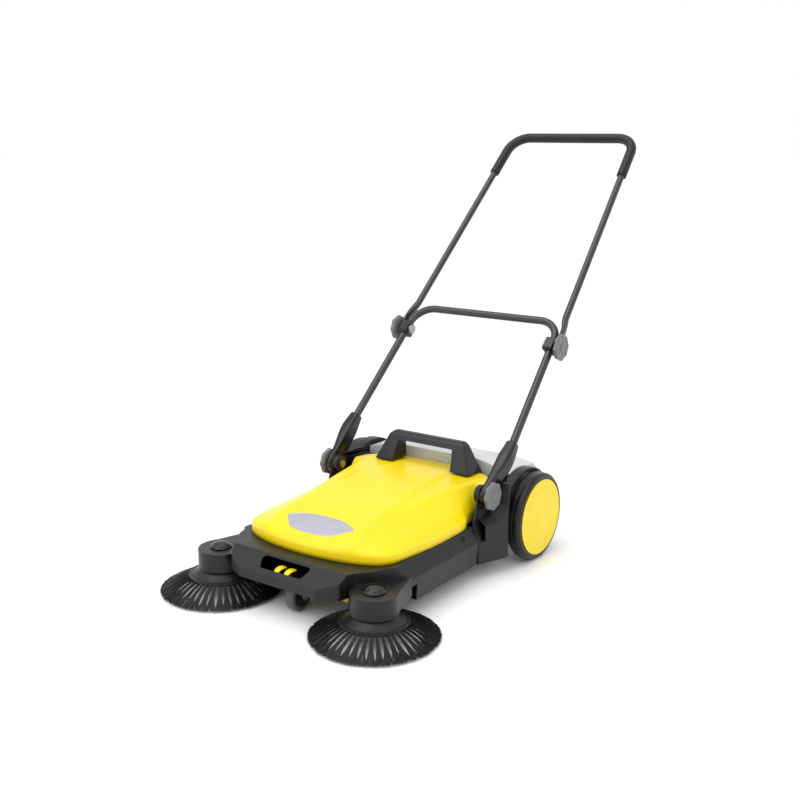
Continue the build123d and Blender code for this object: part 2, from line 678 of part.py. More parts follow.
# ---- Disc brushes
def brush_parts():
    """Plate, bristles and drive hub of one disc brush, with its fixed bearing and cap."""
    low = BRISTLE_FLOOR_GAP
    plate = [(SPINDLE_R, 51), (12, 51), (12, 49), (44, 49), (PLATE_R, 36), (PLATE_R, 31), (42, 44), (SPINDLE_R, 44)]
    keep_pair("brush_plate", turned_z(plate, BRUSH_X, BRUSH_Y))
    ring = [(48, 40.4), (PLATE_R - 0.5, 30.6), (BRUSH_R, low + 6), (BRUSH_R, low), (BRUSH_R - 16, low), (48, 30)]
    keep_pair("brush_bristles", turned_z(ring, BRUSH_X, BRUSH_Y))
    hub_top = HEAD_TOP - WALL - PLAY
    groove_half = GROOVE_W / 2 + 0.8
    hub = rod_z(SPINDLE_R, 44, hub_top, BRUSH_X, BRUSH_Y)
    pulley = rod_z(BRUSH_PULLEY_R + 1.5, BRUSH_BELT_Z - groove_half - 2, BRUSH_BELT_Z + groove_half + 2, BRUSH_X, BRUSH_Y)
    ring = rod_z(BRUSH_PULLEY_R + 3, BRUSH_BELT_Z - groove_half, BRUSH_BELT_Z + groove_half, BRUSH_X, BRUSH_Y)
    ring -= rod_z(BRUSH_PULLEY_R - BELT_R - BELT_GAP, BRUSH_BELT_Z - 9, BRUSH_BELT_Z + 9, BRUSH_X, BRUSH_Y)
    keep_pair("brush_drive_hub", hub + (pulley - ring))
    bearing = rod_z(SPINDLE_R + 5, HEAD_BASE, HEAD_BASE + 10, BRUSH_X, BRUSH_Y)
    bearing -= rod_z(SPINDLE_R + RUNNING, HEAD_BASE - 1, HEAD_BASE + 11, BRUSH_X, BRUSH_Y)
    keep_pair("brush_bearing", bearing)
    z = HEAD_TOP
    cap = [(0, z - WALL), (CAP_R - 6, z - WALL), (CAP_R - 6, z), (CAP_R, z), (CAP_R, z + 3), (CAP_R - 3, z + 4), (CAP_R - 5, z + 7), (CAP_R - 12, z + CAP_H), (0, z + CAP_H + 1)]
    keep_pair("brush_cap", turned_z(cap, BRUSH_X, BRUSH_Y))


# ---- Main roller
def roller_parts():
    """Core with its shaft, the bristle rows, the driven pulley and the two bushes."""
    wall_out = SIDE_WALL_X + SIDE_WALL_T
    core = rod_x(ROLLER_CORE_R, -ROLLER_HALF, ROLLER_HALF, ROLLER_Y, ROLLER_Z)
    core += rod_x(ROLLER_SHAFT_R, -wall_out, wall_out, ROLLER_Y, ROLLER_Z)
    keep("roller_core", core)
    ring = rod_x(ROLLER_R, -ROLLER_HALF + 2, ROLLER_HALF - 2, ROLLER_Y, ROLLER_Z)
    ring -= rod_x(ROLLER_CORE_R, -ROLLER_HALF, ROLLER_HALF, ROLLER_Y, ROLLER_Z)
    row = block(-ROLLER_HALF, ROLLER_HALF, -7, 7, 0, ROLLER_R + 1)
    rows = Part()
    for index in range(ROLLER_ROWS):
        rows += Pos(0, ROLLER_Y, ROLLER_Z) * Rot(index * 360 / ROLLER_ROWS, 0, 0) * row
    keep("roller_bristles", ring & rows)
    x = groove_x(1)
    half = GROOVE_W / 2 + 1.5
    pulley = grooved(ROLLER_PULLEY_R, x - half, x + half - 0.8, [x], GROOVE_W, ROLLER_Y, ROLLER_Z)
    keep("roller_pulley", pulley - rod_x(ROLLER_SHAFT_R, x - 9, x + 9, ROLLER_Y, ROLLER_Z))
    bush = rod_x(ROLLER_SHAFT_R + 4, SIDE_WALL_X, wall_out, ROLLER_Y, ROLLER_Z)
    bush -= rod_x(ROLLER_SHAFT_R + RUNNING, SIDE_WALL_X - 1, wall_out + 1, ROLLER_Y, ROLLER_Z)
    keep("roller_bushes", both(bush))


# ---- Belts
def half_ring(radius, centre, turn):
    """Half of a round belt's wrap: it starts as the +X half of a ring about Z."""
    ring = Torus(radius, BELT_R) & block(0, radius + 9, -radius - 9, radius + 9, -9, 9)
    return Pos(*centre) * turn * ring


def brush_belt():
    """A quarter-turn round belt from the wheel's inner groove to the brush hub."""
    x = groove_x(0)
    top = (x, AXLE_Y, WHEEL_R + WHEEL_PULLEY_R)
    low = (x, AXLE_Y, WHEEL_R - WHEEL_PULLEY_R)
    outer = (BRUSH_X + BRUSH_PULLEY_R, BRUSH_Y, BRUSH_BELT_Z)
    inner = (BRUSH_X - BRUSH_PULLEY_R, BRUSH_Y, BRUSH_BELT_Z)
    belt = half_ring(WHEEL_PULLEY_R, (x, AXLE_Y, WHEEL_R), Rot(0, 90, 0) * Rot(0, 0, 90))
    belt += half_ring(BRUSH_PULLEY_R, (BRUSH_X, BRUSH_Y, BRUSH_BELT_Z), Rot(0, 0, -90))
    for start, end in ((top, outer), (low, inner)):
        belt += rod(start, end, BELT_R)
        belt += Pos(*start) * Sphere(BELT_R)
        belt += Pos(*end) * Sphere(BELT_R)
    return belt


def roller_belt():
    """The belt from the left wheel's outer groove to the roller pulley."""
    def loop(extra):
        circles = [
            Pos(AXLE_Y, WHEEL_R) * Circle(WHEEL_PULLEY_R + extra),
            Pos(ROLLER_Y, ROLLER_Z) * Circle(ROLLER_PULLEY_R + extra),
        ]
        return make_hull([edge for circle in circles for edge in circle.edges()])

    x = groove_x(1)
    return prism_x(loop(BELT_R), x - BELT_R, x + BELT_R) - prism_x(loop(-BELT_R), x - BELT_R, x + BELT_R)


# ---- Front support wheel
def front_wheel_parts():
    """The small wheel under the bumper, its bracket and its bolt."""
    y, z, half = ahead(FRONT_WHEEL_AHEAD), FRONT_WHEEL_R, FRONT_WHEEL_W / 2
    seat = FRONT_WHEEL_R - 8
    tyre = [(-half, seat), (-half, z - 2), (-half + 2, z), (half - 2, z), (half, z - 2), (half, seat)]
    keep("front_tyre", turned_x(tyre, y, z))
    hub = rod_x(seat, -half + 1.5, half - 1.5, y, z) + rod_x(9, -half - 1, half + 1, y, z)
    keep("front_hub", hub - rod_x(FRONT_BOLT_R + RUNNING, -half - 2, half + 2, y, z))
    arm_x = half + 2
    arm = rod_x(9, arm_x, arm_x + 3, y, z) + block(arm_x, arm_x + 3, y - 9, y + 9, z, BELLY_Z)
    bracket = both(arm) + block(-arm_x - 3, arm_x + 3, y - 18, y + 22, BELLY_Z - 4, BELLY_Z)
    keep("front_wheel_bracket", bracket - rod_x(FRONT_BOLT_R, -arm_x - 4, arm_x + 4, y, z))
    bolt = rod_x(FRONT_BOLT_R, -arm_x - 3, arm_x + 3, y, z)
    bolt += both(rod_x(6.5, arm_x + 3, arm_x + 6, y, z))
    keep("front_axle_bolt", bolt)


def front_lip():
    """The yellow dirt lip under the bumper, open in the middle for the front wheel."""
    y = ahead(BUMPER_AHEAD - 72)
    lip = block(26, 126, y - 4, y, 47, BELLY_Z) + block(26, 126, y - 4, y + 12, BELLY_Z - 3, BELLY_Z)
    return both(lip) + block(-26, 26, y - 6 + 62, y + 66, BELLY_Z - 3, BELLY_Z) + both(block(24, 40, y, y + 66, BELLY_Z - 3, BELLY_Z))


# ---- Push handle
def lower_x(at):
    """The lower tube's half width at a distance from the hinge."""
    share = (at - LOWER_END_AT) / (LOWER_LENGTH - LOWER_END_AT)
    return LOWER_END_X + share * (LOWER_TOP_X - LOWER_END_X)


def upper_x(at):
    """The upper tube's half width at a distance from the hinge."""
    share = (at - JOINT_AT) / (HANDLE_LENGTH - JOINT_AT)
    return UPPER_END_X + share * (UPPER_TOP_X - UPPER_END_X)


def bent_tube(half, start, top_half, top, bend, radius, bore):
    """A tapered U of round tube in the handle's plane."""
    path = FilletPolyline((-half, start), (-top_half, top), (top_half, top), (half, start), radius=bend)
    path = HANDLE * path
    section = Plane(origin=path @ 0, z_dir=path % 0) * (Circle(radius) - Circle(bore))
    return sweep(section, path)


def handle_rod_x(radius, x0, x1, at):
    """A bar along X that crosses the handle's plane at a distance from the hinge."""
    y = HINGE_Y + at * cos(radians(HANDLE_ANGLE))
    z = HINGE_Z + at * sin(radians(HANDLE_ANGLE))
    return rod_x(radius, x0, x1, y, z)


def in_handle_side(face, x0, x1):
    """A face drawn as (distance from hinge, height over the handle's plane), extruded along X."""
    plane = Plane(origin=HANDLE.origin + Vector(x0, 0, 0), x_dir=HANDLE.y_dir, z_dir=(1, 0, 0))
    return extrude(plane * face, x1 - x0)


def handle_line_rod(radius, at0, at1):
    """A bar along the lower tube's leg between two distances from the hinge."""
    start = HANDLE.from_local_coords(Vector(lower_x(at0), at0, 0))
    end = HANDLE.from_local_coords(Vector(lower_x(at1), at1, 0))
    return rod(start, end, radius)


def hinge_arm():
    """The moulded arm from the hinge boss to the socket of the lower tube."""
    out = ARM_X + ARM_T
    arm = handle_rod_x(ARM_BOSS_R, ARM_X, out, 0)
    side = [(0, -ARM_BOSS_R + 1), (60, -19), (110, -SOCKET_R), (110, SOCKET_R), (60, 19), (0, ARM_BOSS_R - 1)]
    arm += in_handle_side(outline(side), ARM_X, out)
    arm += handle_line_rod(SOCKET_R, 72, LOWER_END_AT + 26)
    arm -= handle_line_rod(LOWER_TUBE_R, LOWER_END_AT, LOWER_END_AT + 60)
    return arm - handle_rod_x(HINGE_BOLT_R + RUNNING, ARM_X - 1, out + 1, 0)


def saddle():
    """The plastic block between the two tubes at the middle joint."""
    half = 17.0
    x0 = lower_x(JOINT_AT) - 12
    x1 = saddle_face()
    block_face = RectangleRounded(2 * half, 2 * half, 6)
    body = in_handle_side(Pos(JOINT_AT, 0) * block_face, x0, x1)
    body -= handle_line_rod(LOWER_TUBE_R + RUNNING, JOINT_AT - half - 4, JOINT_AT + half + 4)
    return body - handle_rod_x(JOINT_BOLT_R, x0 - 1, x1 + 1, JOINT_AT)


def saddle_face():
    """The X of the saddle's outer face, which the upper tube's flattened end turns on."""
    return lower_x(JOINT_AT) + LOWER_TUBE_R + 0.6


def lug_x():
    """The X of the inner face of the upper tube's flattened end."""
    return saddle_face() + PLAY


def upper_tube():
    """The upper U with its two flattened ends."""
    start = LUG_TOP_AT - 16
    tube = bent_tube(upper_x(start), start, UPPER_TOP_X, HANDLE_LENGTH, UPPER_BEND_R, UPPER_TUBE_R, UPPER_TUBE_R - TUBE_WALL)
    middle = (JOINT_AT + LUG_TOP_AT) / 2
    length = LUG_TOP_AT - JOINT_AT + 2 * LUG_R
    lug = in_handle_side(Pos(middle - LUG_R / 2, 0) * SlotOverall(length - LUG_R, 2 * LUG_R), lug_x(), lug_x() + LUG_T)
    lug -= handle_rod_x(JOINT_BOLT_R + RUNNING, lug_x() - 1, lug_x() + LUG_T + 1, JOINT_AT)
    return tube + both(lug)


def grip_sleeve():
    """The soft sleeve over the top bar, both bends and the upper part of both legs."""
    return bent_tube(upper_x(GRIP_FROM), GRIP_FROM, UPPER_TOP_X, HANDLE_LENGTH, UPPER_BEND_R, GRIP_R, UPPER_TUBE_R)


def handle_parts():
    """Both U tubes, their fittings, the bolts and the four knobs."""
    keep_pair("hinge_arm", hinge_arm())
    lower = bent_tube(
        LOWER_END_X, LOWER_END_AT, LOWER_TOP_X, LOWER_LENGTH, LOWER_BEND_R, LOWER_TUBE_R, LOWER_TUBE_R - TUBE_WALL
    )
    joint_bore = handle_rod_x(JOINT_BOLT_R, 150, 240, JOINT_AT)
    keep("lower_tube", lower - both(joint_bore))
    keep_pair("joint_saddle", saddle())
    keep("upper_tube", upper_tube())
    keep("grip_sleeve", grip_sleeve())
    hinge_face = ARM_X + ARM_T + PLAY
    joint_face = lug_x() + LUG_T + PLAY
    bolt = handle_rod_x(HINGE_BOLT_R, SIDE_WALL_X - 10, hinge_face + KNOB_T - 4, 0)
    bolt += handle_rod_x(9, SIDE_WALL_X - 15, SIDE_WALL_X - 10, 0)
    keep("hinge_bolts", both(bolt))
    inner = lower_x(JOINT_AT) - 12
    bolt = handle_rod_x(JOINT_BOLT_R, inner, joint_face + KNOB_T - 4, JOINT_AT)
    bolt += handle_rod_x(12, inner - 7, inner, JOINT_AT)
    keep("joint_bolts", both(bolt))
    keep_pair("hinge_knob", star_knob(hinge_face, 0, HINGE_BOLT_R))
    keep_pair("joint_knob", star_knob(joint_face, JOINT_AT, JOINT_BOLT_R))


def star_knob(x, at, bolt_r):
    """A lobed clamping knob whose blind bore turns on its bolt."""
    lobe_r = 8.5
    face = Circle(KNOB_R - 4)
    for index in range(KNOB_LOBES):
        face += Rot(0, 0, index * 360 / KNOB_LOBES) * (Pos(KNOB_R - lobe_r, 0) * Circle(lobe_r))
    knob = in_handle_side(Pos(at, 0) * face, x, x + KNOB_T)
    dome = handle_rod_x(KNOB_R + 1, x - 1, x + KNOB_T - 4, at)
    y = HINGE_Y + at * cos(radians(HANDLE_ANGLE))
    z = HINGE_Z + at * sin(radians(HANDLE_ANGLE))
    edge = x + KNOB_T
    dome += turned_x([(edge - 4.5, 0), (edge - 4.5, KNOB_R + 1), (edge - 4, KNOB_R + 1), (edge, KNOB_R - 8), (edge, 0)], y, z)
    return (knob & dome) - handle_rod_x(bolt_r + RUNNING, x - 1, x + KNOB_T - 4 + PLAY, at)


# ---- Screws
def beam_screws():
    """Screws up through the beam into the feet of the carry handle."""
    x = (CARRY_FOOT_X + CARRY_LEG_X) / 2 + 2
    screws = Part()
    for distance in (86, 60):
        screws += rod_z(5, BEAM_TOP - WALL - 3, BEAM_TOP - WALL, x, ahead(distance))
    return both(screws)


def main():
    """Builds every piece and writes it to its own file."""
    keep("chassis_shell", chassis_shell())
    keep_pair("side_panel", side_panel())
    keep("hood_shell", hood_shell())
    keep("badge_plate", badge_plate())
    keep("carry_handle", carry_handle())
    keep("waste_container", waste_container())
    keep("container_lip", container_lip())
    wheel_parts()
    axle_parts()
    brush_parts()
    roller_parts()
    keep_pair("brush_belt", brush_belt())
    keep("roller_belt", roller_belt())
    front_wheel_parts()
    keep("front_lip", front_lip())
    handle_parts()
    keep("beam_screws", beam_screws())
    os.makedirs("parts", exist_ok=True)
    for name, shape in PARTS.items():
        export_step(shape, f"parts/{name}.step")


main()
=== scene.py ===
"""Looks for a walk-behind push sweeper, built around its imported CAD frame.

Lengths are in metres in the row frame: +Z up, the machine travels towards -Y, and its left is +X.
Lengths called "ahead" run forwards from the main wheel axle.
"""

from __future__ import annotations

import json
import logging
import math
from dataclasses import dataclass
from enum import Enum
from typing import Any, Callable, Iterable, Sequence

import bmesh
import bpy
import numpy as np
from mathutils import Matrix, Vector

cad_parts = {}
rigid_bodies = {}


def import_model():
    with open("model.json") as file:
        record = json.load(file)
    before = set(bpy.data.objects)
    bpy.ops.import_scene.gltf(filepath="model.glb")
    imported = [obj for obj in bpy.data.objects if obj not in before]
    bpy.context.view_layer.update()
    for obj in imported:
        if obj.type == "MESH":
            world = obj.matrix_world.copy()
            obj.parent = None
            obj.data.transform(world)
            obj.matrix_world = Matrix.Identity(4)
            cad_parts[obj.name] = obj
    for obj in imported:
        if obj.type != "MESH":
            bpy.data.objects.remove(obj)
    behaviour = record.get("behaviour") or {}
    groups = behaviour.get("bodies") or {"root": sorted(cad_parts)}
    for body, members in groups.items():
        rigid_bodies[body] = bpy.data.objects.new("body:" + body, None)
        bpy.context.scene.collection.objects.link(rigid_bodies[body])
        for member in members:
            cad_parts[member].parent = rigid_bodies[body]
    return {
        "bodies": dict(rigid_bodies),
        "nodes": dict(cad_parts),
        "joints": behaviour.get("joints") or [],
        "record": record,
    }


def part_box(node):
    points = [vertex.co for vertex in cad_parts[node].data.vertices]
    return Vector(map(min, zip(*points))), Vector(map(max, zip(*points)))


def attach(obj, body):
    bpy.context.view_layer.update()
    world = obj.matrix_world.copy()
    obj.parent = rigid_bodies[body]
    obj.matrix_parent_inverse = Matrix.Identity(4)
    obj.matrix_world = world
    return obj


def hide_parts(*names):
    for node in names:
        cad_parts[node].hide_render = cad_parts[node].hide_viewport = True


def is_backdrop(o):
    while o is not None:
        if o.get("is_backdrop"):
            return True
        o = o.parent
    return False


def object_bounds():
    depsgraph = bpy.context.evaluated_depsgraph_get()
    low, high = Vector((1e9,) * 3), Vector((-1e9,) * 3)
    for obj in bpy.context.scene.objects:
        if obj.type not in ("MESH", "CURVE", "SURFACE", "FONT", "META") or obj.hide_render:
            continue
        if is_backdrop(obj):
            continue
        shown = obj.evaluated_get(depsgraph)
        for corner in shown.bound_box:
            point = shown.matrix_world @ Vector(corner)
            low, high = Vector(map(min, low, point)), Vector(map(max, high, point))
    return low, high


LOG = logging.getLogger("sweeper")
Point = tuple[float, float, float]
Flat = tuple[float, float]
Colour = tuple[float, float, float]
Section = tuple[float, float, float]
Station = tuple[float, float, float, float]
Surface = tuple[list[Any], list[list[int]]]

AXLE_Y = 0.02432
WHEEL_R = 0.100
DECK_Z = 0.119
BEAM_TOP = 0.187
HINGE_AHEAD = 0.150
HINGE_Z = 0.182
HANDLE_ANGLE = math.radians(44.3)


def ahead(distance: float) -> float:
    """The Y of a place that far in front of the main axle."""
    return AXLE_Y - distance


def smoothstep(low: float, high: float, value: float) -> float:
    """0 below low, 1 above high and a smooth rise between them."""
    share = min(1.0, max(0.0, (value - low) / (high - low)))
    return share * share * (3.0 - 2.0 * share)


class Axis(Enum):
    """The axis that a turned piece turns about."""

    ACROSS = "X"
    UP = "Z"


class Side(Enum):
    """The two sides of the machine."""

    LEFT = 1
    RIGHT = -1

    @property
    def word(self) -> str:
        """The side's name in piece and body names."""
        return self.name.lower()


class Value:
    """A socket that gives a number, usable in ordinary arithmetic."""

    def __init__(self, graph: Graph, socket: Any) -> None:
        """Keeps the graph that new Math nodes go to.

        Args:
            graph: The material's node graph.
            socket: The output socket to wrap.
        """
        self.graph = graph
        self.socket = socket

    def _math(self, operation: str, *inputs: Any) -> Value:
        """Adds one Math node.

        Args:
            operation: The Math node's operation.
            inputs: Its values or links, in order.

        Returns:
            The node's output.
        """
        return self.graph.node("ShaderNodeMath", {"operation": operation}, dict(enumerate(inputs)))

    def __add__(self, other: Any) -> Value:
        """self + other."""
        return self._math("ADD", self, other)

    __radd__ = __add__

    def __sub__(self, other: Any) -> Value:
        """self - other."""
        return self._math("SUBTRACT", self, other)

    def __rsub__(self, other: Any) -> Value:
        """other - self."""
        return self._math("SUBTRACT", other, self)

    def __mul__(self, other: Any) -> Value:
        """self * other."""
        return self._math("MULTIPLY", self, other)

    __rmul__ = __mul__

    def clamped(self) -> Value:
        """The value held between 0 and 1."""
        return self._math("MINIMUM", self._math("MAXIMUM", self, 0.0), 1.0)


class Graph:
    """One material and its nodes."""

    FLAT_POINT = 0.505
    EDGE_CONTRAST = 12.0

    def __init__(self, name: str) -> None:
        """Makes an empty material.

        Args:
            name: The material's name.
        """
        self.material = bpy.data.materials.new(name)
        self.material.use_nodes = True
        self.tree = self.material.node_tree
        self.tree.nodes.clear()

    def node(
        self, kind: str, settings: dict[str, Any] | None = None,
        inputs: dict[Any, Any] | None = None, output: int | str = 0,
    ) -> Value:
        """Adds a node.

        Args:
            kind: The node's type.
            settings: Attributes that are set first.
            inputs: Values or links of its sockets, by name or number.
            output: The output to return.

        Returns:
            The chosen output as a Value.
        """
        made = self.tree.nodes.new(kind)
        for key, value in (settings or {}).items():
            setattr(made, key, value)
        for key, value in (inputs or {}).items():
            if isinstance(value, Value):
                self.tree.links.new(value.socket, made.inputs[key])
            else:
                made.inputs[key].default_value = value
        return Value(self, made.outputs[output])

    def noise(self, scale: float, detail: float = 3.0, stretch: Point = (1, 1, 1)) -> Value:
        """Fractal noise in the piece's own coordinates.

        Args:
            scale: Waves per metre.
            detail: Octaves.
            stretch: Scale along each axis.

        Returns:
            A value about 0.5, from 0 to 1.
        """
        place = self.node("ShaderNodeTexCoord", output="Object")
        place = self.node("ShaderNodeMapping", inputs={"Vector": place, "Scale": stretch})
        inputs = {"Vector": place, "Scale": scale, "Detail": detail}
        return self.node("ShaderNodeTexNoise", inputs=inputs, output="Fac")

    def edges(self) -> Value:
        """How convex the surface is, from 0 on flats to 1 on worn edges."""
        point = self.node("ShaderNodeNewGeometry", output="Pointiness")
        return ((point - self.FLAT_POINT) * self.EDGE_CONTRAST).clamped()

    def mix(self, share: Any, first: Colour, second: Colour) -> Value:
        """Mixes two colours.

        Args:
            share: The share of the second one, a value or a link.
            first: The colour, or a link to it, where the share is 0.
            second: The colour, or a link to it, where the share is 1.

        Returns:
            The mixed colour.
        """
        pair = {
            key: value if isinstance(value, Value) else (*value, 1.0)
            for key, value in ((6, first), (7, second))
        }
        return self.node("ShaderNodeMix", {"data_type": "RGBA"}, {0: share, **pair}, output=2)

    def bump(self, height: Value, distance: float, strength: float = 1.0) -> Value:
        """A normal bent by a height.

        Args:
            height: The height, from 0 to 1.
            distance: The depth of that height in metres.
            strength: How much of it shows.

        Returns:
            The normal.
        """
        inputs = {"Height": height, "Distance": distance, "Strength": strength}
        return self.node("ShaderNodeBump", inputs=inputs)

    def surface(self, **inputs: Any) -> bpy.types.Material:
        """Ends the graph with one Principled shader.

        Args:
            inputs: Its sockets' values or links, with _ for the spaces in their names.

        Returns:
            The finished material.
        """
        named = {key.replace("_", " "): value for key, value in inputs.items()}
        for key, value in named.items():
            if isinstance(value, tuple) and len(value) == 3:
                named[key] = (*value, 1.0)
        shader = self.node("ShaderNodeBsdfPrincipled", inputs=named)
        end = self.tree.nodes.new("ShaderNodeOutputMaterial")
        self.tree.links.new(shader.socket, end.inputs["Surface"])
        return self.material


@dataclass(frozen=True)
class MouldedPlastic:
    """Injection-moulded plastic with a fine spark-eroded grain."""

    name: str
    colour: Colour
    roughness: float = 0.4
    grain: float = 900.0
    grain_depth: float = 0.00004
    edge_light: float = 0.10
    coat: float = 0.0
    gloss: float = 0.5

    def material(self) -> bpy.types.Material:
        """The grain, a slow change of shade, and paler edges where hands and floors rub."""
        graph = Graph(self.name)
        slow = graph.noise(9.0, 4.0)
        fine = graph.noise(self.grain, 2.0)
        scuff = graph.noise(70.0, 5.0, (1.0, 0.25, 1.0))
        worn = (graph.edges() * (scuff * 1.6 - 0.2)).clamped()
        pale = tuple(min(1.0, c + self.edge_light * (0.6 + c)) for c in self.colour)
        dark = tuple(c * 0.9 for c in self.colour)
        tone = graph.mix(slow, dark, tuple(min(1.0, c * 1.06) for c in self.colour))
        return graph.surface(
            Base_Color=graph.mix(worn * 0.55, tone, pale),
            Roughness=(slow - 0.5) * 0.10 + (fine - 0.5) * 0.12 + self.roughness,
            Coat_Weight=self.coat,
            Coat_Roughness=0.12,
            Specular_IOR_Level=self.gloss,
            Normal=graph.bump(fine, self.grain_depth, 0.6),
        )


@dataclass(frozen=True)
class BareMetal:
    """Plated or brushed metal with fine lines along one axis."""

    name: str
    colour: Colour
    roughness: float = 0.3
    lines: Point = (1.0, 12.0, 12.0)

    def material(self) -> bpy.types.Material:
        """Fine lines in the roughness and the normal, with a few duller patches."""
        graph = Graph(self.name)
        lines = graph.noise(260.0, 2.0, self.lines)
        patches = graph.noise(30.0, 4.0)
        shade = graph.mix(patches, tuple(c * 0.86 for c in self.colour), self.colour)
        return graph.surface(
            Base_Color=shade,
            Metallic=1.0,
            Roughness=(lines - 0.5) * 0.16 + (patches - 0.5) * 0.12 + self.roughness,
            Normal=graph.bump(lines, 0.00003, 0.5),
        )


@dataclass(frozen=True)
class TubePaint:
    """Dark metallic powder coat on steel tube."""

    name: str
    colour: Colour
    roughness: float = 0.3

    def material(self) -> bpy.types.Material:
        """A slight orange-peel texture and a fine sparkle of lighter grains."""
        graph = Graph(self.name)
        peel = graph.noise(420.0, 2.0)
        grains = graph.noise(2600.0, 1.0)
        rubs = graph.noise(24.0, 5.0)
        tone = graph.mix((grains - 0.45).clamped() * 0.5, self.colour, tuple(c * 2.2 for c in self.colour))
        return graph.surface(
            Base_Color=tone,
            Metallic=0.55,
            Roughness=(rubs - 0.5) * 0.16 + self.roughness,
            Coat_Weight=0.25,
            Coat_Roughness=0.2,
            Normal=graph.bump(peel, 0.00008, 0.5),
        )


@dataclass(frozen=True)
class Rubber:
    """Tyre or sleeve rubber."""

    name: str
    colour: Colour
    roughness: float = 0.55
    pore: float = 500.0
    pore_depth: float = 0.00008

    def material(self) -> bpy.types.Material:
        """Fine pores, and dust that sits unevenly on the surface."""
        graph = Graph(self.name)
        pores = graph.noise(self.pore, 3.0)
        dust = graph.noise(38.0, 5.0)
        pale = tuple(c + 0.012 for c in self.colour)
        return graph.surface(
            Base_Color=graph.mix(((dust - 0.5) * 1.8).clamped(), self.colour, pale),
            Roughness=(dust - 0.5) * 0.18 + (pores - 0.5) * 0.1 + self.roughness,
            Specular_IOR_Level=0.32,
            Normal=graph.bump(pores, self.pore_depth, 0.7),
        )


@dataclass(frozen=True)
class Bristle:
    """Stiff synthetic filaments."""

    name: str
    colour: Colour

    def material(self) -> bpy.types.Material:
        """Each filament has its own shade and gloss."""
        graph = Graph(self.name)
        strands = graph.noise(700.0, 2.0)
        pale = tuple(c + 0.016 for c in self.colour)
        return graph.surface(
            Base_Color=graph.mix(((strands - 0.45) * 3.0).clamped(), self.colour, pale),
            Roughness=(strands - 0.5) * 0.3 + 0.42,
            Specular_IOR_Level=0.22,
            Normal=graph.bump(strands, 0.0002, 0.5),
        )


